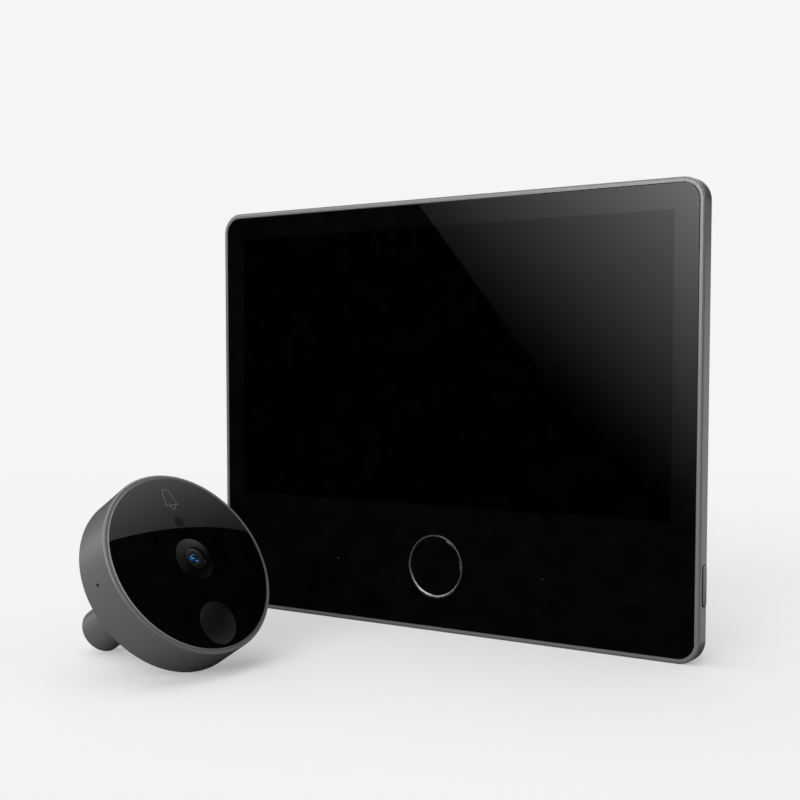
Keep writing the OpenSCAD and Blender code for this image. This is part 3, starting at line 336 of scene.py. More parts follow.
def raise_faces(bm, faces, height):
    """Extrudes faces along z, keeps them as the other end, and returns the moved faces."""
    made = bmesh.ops.extrude_face_region(bm, geom=faces, use_keep_orig=True)["geom"]
    verts = [part for part in made if isinstance(part, bmesh.types.BMVert)]
    bmesh.ops.translate(bm, vec=(0, 0, height), verts=verts)
    return [part for part in made if isinstance(part, bmesh.types.BMFace)]


def cut_off(bm, parts, place, normal):
    """Cuts away what lies beyond a plane."""
    bmesh.ops.bisect_plane(bm, geom=parts, plane_co=place, plane_no=normal, clear_outer=True)


def gauze_disc(bm, hole_radius):
    """A flat disc that fits a hole, given back as its vertices."""
    return bmesh.ops.create_circle(bm, cap_ends=True, segments=32, radius=hole_radius - GAUZE_PLAY)["verts"]


# Finishes


def shell_metal():
    # Aluminium, bead-blasted and anodised dark grey: an even soft sheen,
    # with a grain too fine to tell apart, drawn at 0.25 mm so that it shows at all
    return finish(
        "anodised_aluminium", ("#7c7d7e", "#848586"), (0.32, 0.38), 0.25, 0.003, Metallic=0.54
    )


def printed_glass(tint):
    # Soda-lime glass printed black behind, polished: deep black with a clean mirror on top
    return finish("printed_glass", ("#030304", tint), (0.004, 0.012), 6, 0, IOR=1.52)


def picture_glass(tint):
    # The same glass over the switched-off panel, with a coating that takes down its mirror
    return finish("picture_glass", ("#000000", tint), (0.004, 0.012), 6, 0, IOR=1.45)


def ground_glass():
    # The glass's edge where it is bevelled and left ground: pale grey and satin
    return finish("ground_glass_edge", ("#6c6d6f", "#777879"), (0.4, 0.5), 0.15, 0.001, IOR=1.52)


def drilled_glass():
    # The drilled wall of a hole in the glass, blacked with ink: dull
    return finish(
        "inked_drilled_glass", ("#020202", "#040404"), (0.9, 1.0), 0.2, 0, IOR=1.5, Specular_IOR_Level=0.0
    )


def woven_gauze():
    # Polyester gauze, woven: black, with a mesh too fine to tell apart,
    # drawn at 0.12 mm so that it shows at all
    return finish(
        "woven_gauze", ("#010101", "#060606"), (0.9, 1.0), 0.12, 0.01, pattern="ShaderNodeTexChecker",
        IOR=1.5, Specular_IOR_Level=0.0,
    )


def cover_plastic():
    # ABS moulded in a spark-eroded tool: dark grey and dry, with a fine even tooth
    return finish("spark_eroded_abs", ("#2a2b2c", "#343536"), (0.5, 0.62), 0.45, 0.02, IOR=1.53)


def brushed_steel():
    # Turned stainless steel, finely brushed: a thin bright line with soft lights
    return finish(
        "brushed_steel", ("#a9aaad", "#bcbdc0"), (0.24, 0.3), 0.4, 0.0005, stretch=(1, 6, 1), Metallic=0.96
    )


# Sizes and colours that a user would change


def length(name, description, millimetres):
    """A length that a user can change."""
    return FloatProperty(name=name, description=description, default=millimetres * MM, unit="LENGTH")


def colour(name, description, code):
    """A colour that a user can change."""
    return FloatVectorProperty(
        name=name, description=description, default=linear(code), subtype="COLOR", size=4, min=0, max=1
    )


class DoorCameraSizes(bpy.types.PropertyGroup):
    """Sizes of the pieces that are modelled here."""

    picture_width: length("Picture width", "Width of the picture area", 154.2)
    picture_height: length("Picture height", "Height of the picture area", 85.9)
    picture_up: length("Picture place", "Middle of the picture above the home button", 61.9)
    glass_corner: length("Glass corner", "Corner radius of the cover glass", 5.0)
    glass_chamfer: length("Glass chamfer", "Width of the polished edge of the glass", 0.12)
    microphone_offset: length("Microphone place", "Distance of the microphone holes from the middle", 37.4)
    microphone_radius: length("Microphone hole", "Radius of the microphone holes", 0.5)
    key_length: length("Key length", "Length of the side key", 11.3)
    key_width: length("Key width", "Width of the side key", 1.96)
    seal_width: length("Side key seal", "Width of the rubber seal round the side key", 2.38)
    seal_depth: length("Seal depth", "Depth of the rubber seal behind the side key's face", 0.33)
    camera_glass_radius: length("Camera glass", "Radius of the camera's glass", 25.85)
    camera_glass_edge: length("Camera glass edge", "Thickness of the camera's glass at its edge", 1.5)
    camera_glass_bevel: length(
        "Camera glass bevel", "Width of the ground bevel round the camera's glass", 0.3
    )
    crown: length("Crown", "Height of the glass's middle above its edge", 2.0)
    lens_hole_radius: length("Lens hole", "Radius of the hole for the lens", 6.15)
    window_radius: length("Motion window", "Radius of the motion sensor's window", 6.0)
    window_up: length("Motion window place", "Height of that window's middle above the lens", -18.7)
    window_hollow: length("Motion window hollow", "How far that window is hollowed", 0.8)
    shroud_radius: length("Lens shroud", "Radius of the shroud round the lens", 6.1)
    shroud_throat: length("Shroud opening", "Radius of the opening in the shroud", 3.2)
    shroud_curve: length("Shroud curve", "Radius of the shroud's rounded front", 17)
    shroud_rise: length("Shroud rise", "Height of the shroud's opening above the glass round it", 0.53)
    side_radius: length(
        "Side gauze", "Distance of the gauze in the side holes from the camera's axis", 26.88
    )
    side_hole_radius: length("Side holes", "Radius of the holes in the camera's side", 0.5)
    side_hole_depth: length("Side microphone", "Depth of the microphone hole behind the glass's edge", 6.7)
    sound_depth: length("Sound holes", "Depth of the middle sound hole behind the glass's edge", 6.375)
    sound_pitch: length("Sound hole spacing", "Distance between the sound holes", 3)
    sensor_radius: length("Light sensor", "Radius of the light sensor's window", 1.5)
    sensor_up: length("Light sensor place", "Height of the light sensor above the lens", 11.4)
    bell_height: length("Bell height", "Height of the bell sign", 7.4)
    bell_line: length("Bell line", "Width of the bell sign's line", 0.22)
    bell_across: length("Bell across", "Bell sign to the right of the lens", 0.3)
    bell_up: length("Bell place", "Height of the bell sign above the lens", 19.3)


class DoorCameraColours(bpy.types.PropertyGroup):
    """Colours of the finishes that show."""

    print_black: colour("Glass print", "Black print behind the glass", "#070708")
    picture_black: colour("Picture", "The switched-off picture", "#020203")
    bell_grey: colour("Bell sign", "Line of the bell sign", "#57585b")
    paper_white: colour("Paper", "The floor", "#c4c4c4")
    room_white: colour("Room", "The room round the object", "#f5f5f5")


# The stage


class DOORCAMERA_OT_stage(bpy.types.Operator):
    """Sets up the room, the floor, what the glass and the metal mirror, the lamps and the camera"""

    bl_idname = "door_camera.stage"
    bl_label = "Stage"

    def execute(self, context):
        scene = context.scene
        scene.view_settings.view_transform = "Standard"
        # In the photograph neither unit is mirrored in the glass of the other one
        for made in scene.objects:
            made.visible_glossy = False
        self.room(scene)
        self.floor(scene)
        self.tent()
        self.ceiling_panel()
        self.studio_card()
        self.soft_cards()
        self.lamps(scene)
        self.viewpoint(scene)
        return {"FINISHED"}

    def room(self, scene):
        """White for the eye, for mirrors and for clear pieces, and an even soft light for the rest."""
        white = scene.door_camera_colours.room_white
        world = bpy.data.worlds.new("white_room")
        world.use_nodes = True
        tree = world.node_tree
        tree.nodes.clear()
        path = add(tree, "ShaderNodeLightPath")
        seen = (path, "Is Camera Ray")
        for kind in ("Is Glossy Ray", "Is Transmission Ray"):
            either = add(tree, "ShaderNodeMath", {"operation": "MAXIMUM"}, {0: seen, 1: (path, kind)})
            seen = (either, "Value")
        soft = add(tree, "ShaderNodeBackground", {"Color": white, "Strength": ROOM_LIGHT})
        bright = add(tree, "ShaderNodeBackground", {"Color": white, "Strength": ROOM_SEEN})
        both = add(
            tree, "ShaderNodeMixShader", links={0: seen, 1: (soft, "Background"), 2: (bright, "Background")}
        )
        add(tree, "ShaderNodeOutputWorld", links={"Surface": (both, "Shader")})
        scene.world = world

    def floor(self, scene):
        """Matt paper that takes the shadows, looks lit from below, and runs out into the white."""
        colours = scene.door_camera_colours
        paper, tree = blank_material("matt_paper")
        place = add(tree, "ShaderNodeTexCoord")
        far = add(tree, "ShaderNodeVectorMath", {"operation": "LENGTH"}, {0: (place, "Object")})
        fade = add(
            tree, "ShaderNodeMapRange",
            {"From Min": FLOOR_FADE[0], "From Max": FLOOR_FADE[1], "interpolation_type": "SMOOTHSTEP"},
            {"Value": (far, "Value")},
        )
        seen = (add(tree, "ShaderNodeLightPath"), "Is Camera Ray")
        near = add(tree, "ShaderNodeMath", {"operation": "MULTIPLY", 1: FLOOR_LIFT}, {0: seen})
        away = add(tree, "ShaderNodeMath", {"operation": "MULTIPLY"}, {0: (fade, "Result"), 1: seen})
        matt = add(tree, "ShaderNodeBsdfDiffuse", {"Color": colours.paper_white})
        lift = add(tree, "ShaderNodeEmission", {"Color": colours.room_white}, {"Strength": (near, "Value")})
        lifted = add(tree, "ShaderNodeAddShader", links={0: (matt, "BSDF"), 1: (lift, "Emission")})
        white = add(tree, "ShaderNodeEmission", {"Color": colours.room_white, "Strength": ROOM_SEEN})
        both = add(
            tree, "ShaderNodeMixShader",
            links={0: (away, "Value"), 1: (lifted, "Shader"), 2: (white, "Emission")},
        )
        add(tree, "ShaderNodeOutputMaterial", links={"Surface": (both, "Shader")})
        bm = bmesh.new()
        bmesh.ops.create_circle(bm, cap_ends=True, segments=96, radius=FLOOR_RADIUS)
        made = stage_object(bm, "floor", paper)
        made.visible_glossy = False

    def tent(self):
        """A dark tent round the set, which only mirrors see."""
        cloth, tree = blank_material("black_cloth")
        plain_light(tree, {"Color": linear("#000000")})
        bm = bmesh.new()
        bmesh.ops.create_icosphere(bm, subdivisions=3, radius=TENT_RADIUS)
        only_mirrored(stage_object(bm, "dark_tent", cloth))

    def ceiling_panel(self):
        """The lit panel that the camera's glass mirrors: its edge is on the right, and it dims far back."""
        glow, tree = blank_material("ceiling_panel")
        place = add(tree, "ShaderNodeTexCoord")
        far = add(
            tree, "ShaderNodeVectorMath", {"operation": "DOT_PRODUCT", 1: PANEL_FALL}, {0: (place, "Object")}
        )
        grade = (far, "Value")
        for operation, amount in (("ADD", PANEL_START), ("EXPONENT", 0), ("MINIMUM", PANEL_LIMIT)):
            grade = (add(tree, "ShaderNodeMath", {"operation": operation, 1: amount}, {0: grade}), "Value")
        plain_light(tree, links={"Strength": grade})
        bm = bmesh.new()
        rectangle(bm, *PANEL_SIZE)
        bmesh.ops.translate(bm, vec=PANEL_MIDDLE, verts=bm.verts)
        cut_off(bm, bm.verts[:] + bm.edges[:] + bm.faces[:], PANEL_EDGE, PANEL_EDGE_NORMAL)
        made = only_mirrored(stage_object(bm, "ceiling_panel", glow))
        made.location.z = PANEL_HEIGHT

    def studio_card(self):
        """A slanted studio card that the monitor's glass mirrors, brighter towards its upper corner."""
        glow, tree = blank_material("studio_card")
        place = add(tree, "ShaderNodeTexCoord")
        ramp_axis = add(
            tree, "ShaderNodeMapping",
            {
                "Rotation": (0, 0, math.radians(RAMP_TURN)),
                "Scale": (RAMP_SCALE, RAMP_SCALE, 1),
                "Location": (RAMP_START, 0, 0),
            },
            {"Vector": (place, "Object")},
        )
        ramp = add(
            tree, "ShaderNodeTexGradient", {"gradient_type": "QUADRATIC"}, {"Vector": (ramp_axis, "Vector")}
        )
        plain_light(tree, {"Strength": RAMP_LIGHT}, {"Color": (ramp, "Color")})
        bm = bmesh.new()
        rectangle(bm, CARD_SIZE, CARD_SIZE)
        across, above = math.radians(CARD_EDGE[0] - CARD_TURN), math.radians(CARD_EDGE[1] - CARD_RISE)
        edge = Vector((math.tan(across), math.tan(above), 0)) * CARD_REACH
        normal = Vector((math.radians(CARD_SLOPE[0]), -math.radians(CARD_SLOPE[1]), 0)).normalized()
        cut_off(bm, bm.verts[:] + bm.edges[:] + bm.faces[:], edge, normal)
        made = only_mirrored(stage_object(bm, "studio_card", glow))
        turn, rise = math.radians(CARD_TURN), math.radians(CARD_RISE)
        out = Vector((-math.sin(turn) * math.cos(rise), -math.cos(turn) * math.cos(rise), math.sin(rise)))
        along = Vector((-math.cos(turn), math.sin(turn), 0))
        up = Vector((math.sin(turn) * math.sin(rise), math.cos(turn) * math.sin(rise), math.cos(rise)))
        stand = Matrix((along, up, along.cross(up))).transposed().to_4x4()
        made.matrix_world = Matrix.Translation(MIRRORED_EYE + out * CARD_REACH) @ stand

    def soft_cards(self):
        """Pale cards that only mirrors see, for the soft lights on the metal and the lens."""
        for name, azimuth, elevation, width, height, strength in SOFT_CARDS:
            glow, tree = blank_material(name)
            plain_light(tree, {"Strength": strength})
            bm = bmesh.new()
            rectangle(bm, width, height)
            made = only_mirrored(stage_object(bm, name, glow))
            turn, rise = math.radians(azimuth), math.radians(elevation)
            out = Vector((math.cos(turn) * math.cos(rise), math.sin(turn) * math.cos(rise), math.sin(rise)))
            made.location = out * SOFT_CARD_DISTANCE
            made.rotation_euler = out.to_track_quat("Z", "Y").to_euler()

    def lamps(self, scene):
        """Two wide soft lights, far enough off to light the floor evenly: above and in front."""
        for name, place, spread, strength in LAMPS:
            light = bpy.data.lights.new(name, "SUN")
            light.angle, light.energy = math.radians(spread), strength
            made = bpy.data.objects.new(name, light)
            made.visible_glossy = False
            made.location = place
            made.rotation_euler = (-Vector(place)).to_track_quat("-Z", "Y").to_euler()
            scene.collection.objects.link(made)

    def viewpoint(self, scene):
        """The photograph's view: level with the lower half of the monitor, from its front right."""
        lens = bpy.data.cameras.new("viewpoint")
        lens.sensor_width, lens.lens, lens.shift_y = SENSOR_WIDTH, FOCAL_LENGTH, LENS_SHIFT
        lens.clip_start = NEAREST
        made = bpy.data.objects.new("viewpoint", lens)
        made.location = EYE
        made.rotation_euler = (math.radians(EYE_TILT), 0, math.radians(EYE_TURN))
        scene.collection.objects.link(made)
        scene.camera = made


# Both units


class DOORCAMERA_OT_shell(bpy.types.Operator):
    """Finishes the metal frame, the camera's housing and its stem"""

    bl_idname = "door_camera.shell"
    bl_label = "Metal shell"

    def execute(self, context):
        dress(shell_metal(), "front_frame", "camera_housing", "stem")
        return {"FINISHED"}


class DOORCAMERA_OT_cover_glass(bpy.types.Operator):
    """Makes the cover glass with its print, picture area and polished edges, and the microphones' gauze"""

    bl_idname = "door_camera.cover_glass"
    bl_label = "Cover glass"

    def execute(self, context):
        sizes, colours = context.scene.door_camera_sizes, context.scene.door_camera_colours
        printed, picture = printed_glass(colours.print_black), picture_glass(colours.picture_black)
        wall = drilled_glass()
        finishes = [printed, picture, wall]
        low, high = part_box("cover_glass")
        home = monitor_frame()
        home_up = home.translation.z - (low.z + high.z) / 2
        picture_up = home_up + sizes.picture_up
        bm = bmesh.new()
        outside = rounded_face(bm, high.x - low.x, high.z - low.z, sizes.glass_corner, 24)
        bmesh.ops.delete(bm, geom=[outside], context="FACES_ONLY")
        corners = rectangle(bm, sizes.picture_width, sizes.picture_height)
        bmesh.ops.translate(bm, vec=(0, picture_up, 0), verts=corners)
        holes = [(0, RING_HOLE, 128)]
        holes += [(side * sizes.microphone_offset, sizes.microphone_radius, 32) for side in (-1, 1)]
        for across, radius, segments in holes:
            hole = bmesh.ops.create_circle(bm, segments=segments, radius=radius)["verts"]
            bmesh.ops.translate(bm, vec=(across, home_up, 0), verts=hole)
        bmesh.ops.triangle_fill(bm, use_beauty=True, edges=bm.edges[:])
        for face in bm.faces:
            at = face.calc_center_median() - Vector((0, picture_up, 0))
            in_picture = abs(at.x) < sizes.picture_width / 2 and abs(at.y) < sizes.picture_height / 2
            face.material_index = finishes.index(picture if in_picture else printed)
        bmesh.ops.recalc_face_normals(bm, faces=bm.faces)
        raise_faces(bm, bm.faces[:], -(high.y - low.y))
        bmesh.ops.recalc_face_normals(bm, faces=bm.faces)
        for face in bm.faces:
            at = face.calc_center_median() - Vector((0, home_up, 0))
            by_hole = abs(abs(at.x) - sizes.microphone_offset) < HOLE_REACH and abs(at.y) < HOLE_REACH
            if by_hole and abs(face.normal.z) < UPRIGHT:
                face.material_index = finishes.index(wall)
        rim = [
            edge for edge in bm.edges
            if all(abs(vert.co.z) < FLAT for vert in edge.verts)
            and len(edge.link_faces) == 2 and edge.calc_face_angle() > SHARP
            and edge.verts[0].co.length > RIM_REACH
        ]
        bevel(bm, rim, sizes.glass_chamfer, "EDGES", 2)
        place = Matrix.Translation((0, low.y, (low.z + high.z) / 2)) @ home.to_3x3().to_4x4()
        piece(
            bm, "cover_glass_pane", "monitor", finishes,
            matrix=place, replaces=["cover_glass"], smooth=20,
        )
        dress(printed, "cover_glass", "home_button")
        bm = bmesh.new()
        for side in (-1, 1):
            disc = gauze_disc(bm, sizes.microphone_radius)
            bmesh.ops.translate(bm, vec=(side * sizes.microphone_offset, 0, -GAUZE_DEPTH), verts=disc)
        raise_faces(bm, bm.faces[:], -GAUZE_THICKNESS)
        piece(bm, "microphone_gauze", "monitor", [woven_gauze()], matrix=home)
        return {"FINISHED"}


class DOORCAMERA_OT_home_ring(bpy.types.Operator):
    """Turns the home button's ring, with a wide inner and a narrow outer rounding"""

    bl_idname = "door_camera.home_ring"
    bl_label = "Home ring"

    def execute(self, context):
        bm = bmesh.new()
        turned_profile(bm, RING_PROFILE, steps=192)
        piece(
            bm, "home_ring_turned", "monitor", [brushed_steel()],
            matrix=monitor_frame(), replaces=["home_ring"], smooth=12,
        )
        dress(brushed_steel(), "home_ring")
        return {"FINISHED"}


class DOORCAMERA_OT_side_key(bpy.types.Operator):
    """Makes the pill-shaped key on the right-hand side, with rounded edges, and the seal round it, whose dead
    black is painted shade of the gap round the key
    """

    bl_idname = "door_camera.side_key"
    bl_label = "Side key"

    def execute(self, context):
        sizes = context.scene.door_camera_sizes
        low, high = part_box("side_key")
        bm = bmesh.new()
        face = rounded_face(bm, sizes.key_width, sizes.key_length, sizes.key_width * PILL)
        top = raise_faces(bm, [face], high.x - low.x)
        bevel(bm, top[0].edges, KEY_ROUNDING, "EDGES", 4)
        bmesh.ops.translate(bm, vec=(0, 0, low.x - high.x), verts=bm.verts)
        piece(
            bm, "side_key_cap", "side_key", [shell_metal()],
            matrix=side_frame(), replaces=["side_key"],
        )
        bm = bmesh.new()
        width = sizes.seal_width
        face = rounded_face(
            bm, width, sizes.key_length + width - sizes.key_width + SEAL_END_PLAY, width * PILL
        )
        lip = bmesh.ops.inset_region(
            bm, faces=[face], thickness=SEAL_LIP, use_even_offset=True, use_boundary=True
        )["faces"]
        bmesh.ops.delete(bm, geom=[face], context="FACES")
        raise_faces(bm, lip, -SEAL_HEIGHT)
        bmesh.ops.translate(bm, vec=(0, 0, -sizes.seal_depth), verts=bm.verts)
        # Silicone rubber, moulded, with a low lip: a dead black line round the key, whose black is painted
        # shade, the shade of the gap round the key
        seal = finish(
            "key_seal_painted_shade", ("#040404", "#080808"), (0.8, 0.9), 0.3, 0.005, IOR=1.43,
            Specular_IOR_Level=0.1,
        )
        piece(bm, "side_key_seal_painted_shade", "monitor", [seal], matrix=side_frame())
        dress(shell_metal(), "side_key")
        return {"FINISHED"}


class DOORCAMERA_OT_camera_glass(bpy.types.Operator):
    """Turns the crowned camera glass and cuts its holes for the motion window and the light sensor"""

    bl_idname = "door_camera.camera_glass"
    bl_label = "Camera glass"

    def execute(self, context):
        sizes, colours = context.scene.door_camera_sizes, context.scene.door_camera_colours
        edge, hole, thick = sizes.camera_glass_radius, sizes.lens_hole_radius, sizes.camera_glass_edge
        face_edge = edge - sizes.camera_glass_bevel
        steps = 48
        radii = [hole + (face_edge - hole) * step / steps for step in range(steps + 1)]
        crown = [(far, crown_height(sizes, far)) for far in radii]
        side = [(edge, -sizes.camera_glass_bevel), (edge, -thick), (hole, -thick)]
        bm = bmesh.new()
        turned_profile(bm, [(far / MM, height / MM) for far, height in crown + side], steps=256)
        printed, ground, wall = printed_glass(colours.print_black), ground_glass(), drilled_glass()
        finishes = [printed, ground, wall]
        for part in bm.faces:
            middle = part.calc_center_median()
            far = middle.xy.length
            if far < hole + HOLE_WALL:
                part.material_index = finishes.index(wall)
            elif face_edge < far < edge - SIDE_WALL and middle.z > -thick / 2:
                part.material_index = finishes.index(ground)
        made = piece(
            bm, "camera_glass_pane", "outdoor_camera", finishes,
            replaces=["camera_glass"], smooth=30,
        )
        for up, radius in ((sizes.window_up, sizes.window_radius), (sizes.sensor_up, sizes.sensor_radius)):
            drill(made, (0, up, 0), radius + WINDOW_PLAY)
        made.data.transform(camera_frame())
        dress(printed, "camera_glass")
        return {"FINISHED"}


class DOORCAMERA_OT_windows(bpy.types.Operator):
    """Turns the hollow window of the motion sensor and finishes the light sensor's window"""

    bl_idname = "door_camera.windows"
    bl_label = "Sensor windows"

    def execute(self, context):
        sizes = context.scene.door_camera_sizes
        # Polyethylene that passes body heat: dark, faintly milky and satin
        window = finish(
            "smoked_polyethylene", ("#040405", "#060607"), (0.4, 0.48), 0.8, 0.002, IOR=1.54,
            Specular_IOR_Level=0.3,
        )
        # Acrylic, smoked so that the sensor behind it doesn't show
        smoked = finish(
            "smoked_acrylic", ("#040405", "#060607"), (0.2, 0.26), 1, 0, IOR=1.49, Specular_IOR_Level=0.25
        )
        dress(window, "motion_window")
        dress(smoked, "light_pipe")
        edge, hollow, foot = sizes.window_radius / MM, sizes.window_hollow / MM, -1.4
        ball = (edge**2 + hollow**2) / (2 * hollow)
        steps = 12
        radii = [edge * step / steps for step in range(1, steps + 1)]
        dish = [(far, ball - hollow - math.sqrt(ball**2 - far**2)) for far in radii]
        bm = bmesh.new()
        turned_profile(bm, [(0, -hollow), *dish, (edge, foot), (0, foot)], steps=96)
        bmesh.ops.translate(bm, vec=(0, 0, -WINDOW_SINK), verts=bm.verts)
        tilt = math.asin(sizes.window_up / crown_ball(sizes))
        place = Matrix.Translation((0, sizes.window_up, crown_height(sizes, sizes.window_up)))
        piece(
            bm, "motion_window_dish", "outdoor_camera", [window],
            matrix=camera_frame() @ place @ Matrix.Rotation(-tilt, 4, "X"), replaces=["motion_window"],
        )
        return {"FINISHED"}


class DOORCAMERA_OT_side_gauze(bpy.types.Operator):
    """Sets dark gauze into the microphone hole and the sound holes in the camera's side"""

    bl_idname = "door_camera.side_gauze"
    bl_label = "Side gauze"

    def execute(self, context):
        sizes = context.scene.door_camera_sizes
        holes = [(math.pi, sizes.side_hole_depth)]
        holes += [(-math.pi / 2, sizes.sound_depth + step * sizes.sound_pitch) for step in (-1, 0, 1)]
        bm = bmesh.new()
        for turn, depth in holes:
            disc = gauze_disc(bm, sizes.side_hole_radius)
            lean = Matrix.Rotation(turn, 4, "Z") @ Matrix.Translation((sizes.side_radius, 0, -depth))
            bmesh.ops.transform(bm, matrix=lean @ Matrix.Rotation(math.pi / 2, 4, "Y"), verts=disc)
        bmesh.ops.solidify(bm, geom=bm.faces[:], thickness=GAUZE_THICKNESS)
        piece(
            bm, "side_hole_gauze", "outdoor_camera", [woven_gauze()], matrix=camera_frame()
        )
        return {"FINISHED"}


class DOORCAMERA_OT_lens(bpy.types.Operator):
    """Turns the camera's lens: the rounded shroud, the end of the barrel and the coated front lens"""

    bl_idname = "door_camera.lens"
    bl_label = "Lens"

    def execute(self, context):
        sizes = context.scene.door_camera_sizes
        # Polycarbonate, moulded deep black in a fine satin tool: only a weak sheen shows its rounding
        shroud = finish(
            "satin_polycarbonate", ("#020202", "#040404"), (0.3, 0.36), 0.3, 0.001, IOR=1.58,
            Specular_IOR_Level=0.1,
        )
        # Aluminium, turned and anodised black: a dull sheen
        barrel = finish(
            "black_anodised_barrel", ("#0b0b0c", "#0f0f10"), (0.42, 0.5), 0.2, 0.001, Metallic=0.5
        )
        # Optical glass under many thin coats, which make it mirror more, and blue: dark with strong blue
        # lights.
        # Its deep blue base colour is a painted reflection, standing in for the blue sheen of the coats
        glass = finish(
            "coated_glass_painted_blue_reflection", ("#04162c", "#061d38"), (0.03, 0.04), 2, 0, IOR=2.1,
            Specular_IOR_Level=1.0, Specular_Tint=linear("#5dafff"),
        )
        dress(shroud, "lens_shroud")
        dress(barrel, "lens_barrel")
        dress(glass, "front_lens", "rear_lens")
        for name, node, profile, steps, material, slot in (
            ("lens_shroud_turned", "lens_shroud", self.shroud_profile(sizes), 128, shroud, "black_plastic"),
            ("lens_barrel_turned", "lens_barrel", BARREL_PROFILE, 128, barrel, "black_plastic"),
            ("front_lens_turned", "front_lens", self.lens_profile(), 96, glass, "coated_lens"),
        ):
            bm = bmesh.new()
            turned_profile(bm, profile, steps)
            piece(bm, name, "outdoor_camera", [material], matrix=camera_frame(), replaces=[node])
        return {"FINISHED"}

    def shroud_profile(self, sizes):
        """A rounded front from the opening out to the glass, and a thin skirt behind it."""
        edge, throat, curve = sizes.shroud_radius / MM, sizes.shroud_throat / MM, sizes.shroud_curve / MM
        lip = (crown_height(sizes, sizes.lens_hole_radius) + sizes.shroud_rise) / MM
        wall, throat_foot, skirt_foot, ledge = 0.3, 1.7, -1, 0.4
        steps = 16
        radii = [throat + (edge - throat) * step / steps for step in range(steps + 1)]
        front = [
            (far, lip + math.sqrt(curve**2 - far**2) - math.sqrt(curve**2 - throat**2)) for far in radii
        ]
        skirt = [(edge, skirt_foot), (edge - wall, skirt_foot), (edge - wall, ledge)]
        return [(throat, throat_foot), *front, *skirt]

    def lens_profile(self):
        """A bead in the middle of a shallow bowl, and a rounded rim."""
        bead, bead_up, bead_edge, bowl, foot = 0.95, 0.74, 0.65, 1.25, 0.62
        dome = [
            (far, bead_up + math.sqrt(bead**2 - far**2)) for far in (0, 0.15, 0.3, 0.45, 0.55, bead_edge)
        ]
        hollow = [
            (far, dome[-1][1] + math.sqrt(bowl**2 - bead_edge**2) - math.sqrt(bowl**2 - far**2))
            for far in (0.75, 0.85, 0.95, 1.05)
        ]
        top = hollow[-1][1]
        rim = [(1.1, top + 0.03), (1.2, top + 0.01), (1.35, top - 0.1), (1.44, top - 0.25)]
        return [*dome, *hollow, *rim, (1.44, foot), (0, foot)]


class DOORCAMERA_OT_bell(bpy.types.Operator):
    """Draws the bell sign on the camera's glass"""

    bl_idname = "door_camera.bell"
    bl_label = "Bell sign"

    def execute(self, context):
        sizes, colours = context.scene.door_camera_sizes, context.scene.door_camera_colours
        # Enamel ink fired onto the glass: a thin matt grey line
        grey = colours.bell_grey
        ink = finish("fired_enamel_ink", (grey, grey), (0.5, 0.6), 0.5, 0, IOR=1.5)
        tall = sizes.bell_height
        # Shares of the sign's height: its right half, the rounding of its corners, and the clapper
        half = [(0.305, -0.35), (0.235, -0.2), (0.215, 0.14), (0.115, 0.37)]
        shoulder, foot, clapper, clapper_up, cut_up = 0.11, 0.02, 0.13, -0.4, -0.37
        ring_from, ring_to = 0.09, 0.14
        bm = bmesh.new()
        outline = half + [(-x, y) for x, y in reversed(half)]
        body = bm.faces.new([bm.verts.new((x * tall, y * tall, 0)) for x, y in outline])
        for size, corners in ((shoulder, body.verts[2:6]), (foot, body.verts[:2] + body.verts[6:])):
            bevel(bm, corners, size * tall, "VERTICES", 5)
        circle = bmesh.ops.create_circle(bm, cap_ends=True, segments=24, radius=clapper * tall)["verts"]
        middle = Vector((0, clapper_up * tall, 0))
        bmesh.ops.translate(bm, vec=middle, verts=circle)
        lines = bmesh.ops.inset_individual(
            bm, faces=bm.faces[:], thickness=sizes.bell_line, use_even_offset=True
        )["faces"]
        bmesh.ops.delete(bm, geom=[face for face in bm.faces if face not in lines], context="FACES")
        ring = [
            face for face in bm.faces
            if ring_from < (face.calc_center_median() - middle).length / tall < ring_to
        ]
        parts = {part for face in ring for part in (face, *face.edges, *face.verts)}
        cut_off(bm, list(parts), (0, cut_up * tall, 0), (0, 1, 0))
        raise_faces(bm, bm.faces[:], INK_THICKNESS)
        bmesh.ops.translate(bm, vec=(sizes.bell_across, sizes.bell_up, 0), verts=bm.verts)
        for vert in bm.verts:
            vert.co.z += crown_height(sizes, vert.co.xy.length)
        piece(bm, "bell_sign", "outdoor_camera", [ink], matrix=camera_frame(), smooth=0)
        return {"FINISHED"}


class DOORCAMERA_OT_back(bpy.types.Operator):
    """Finishes the rear cover, the door plate, screws and small metal pieces, rubber pieces and sockets"""

    bl_idname = "door_camera.back"
    bl_label = "Back"

    def execute(self, context):
        dress(cover_plastic(), "rear_cover")
        # Steel sheet, powder-coated: near black, with the fine orange peel of the coat
        plate = finish("powder_coated_steel", ("#1e1f21", "#27282b"), (0.45, 0.55), 0.7, 0.012, IOR=1.5)
        # Steel, plated and turned: fine lines and a clean shine
        steel = finish(
            "nickel_plated_steel", ("#8f9092", "#a5a6a8"), (0.22, 0.34), 0.3, 0.002,
            stretch=(1, 1, 8), Metallic=1.0,
        )
        # Silicone rubber, moulded: dead black and dull
        rubber = finish("moulded_silicone", ("#111111", "#181818"), (0.75, 0.85), 0.4, 0.01, IOR=1.43)
        # Nylon, moulded: warm cream with a low gloss
        cream = finish("moulded_nylon", ("#cfc9b4", "#d8d3c0"), (0.4, 0.48), 0.6, 0.003, IOR=1.53)
        dress(plate, "door_plate")
        dress(
            steel, "cover_screws", "charging_port", "chassis_screws", "board_screws", "housing_screws",
            "microphones", "camera_microphone", "processor_shield", "motion_sensor",
        )
        dress(rubber, "weather_pad", "microphone_boots", "speaker_gasket", "glass_seal", "glass_tape")
        dress(cream, "link_socket", "camera_link_socket")
        return {"FINISHED"}


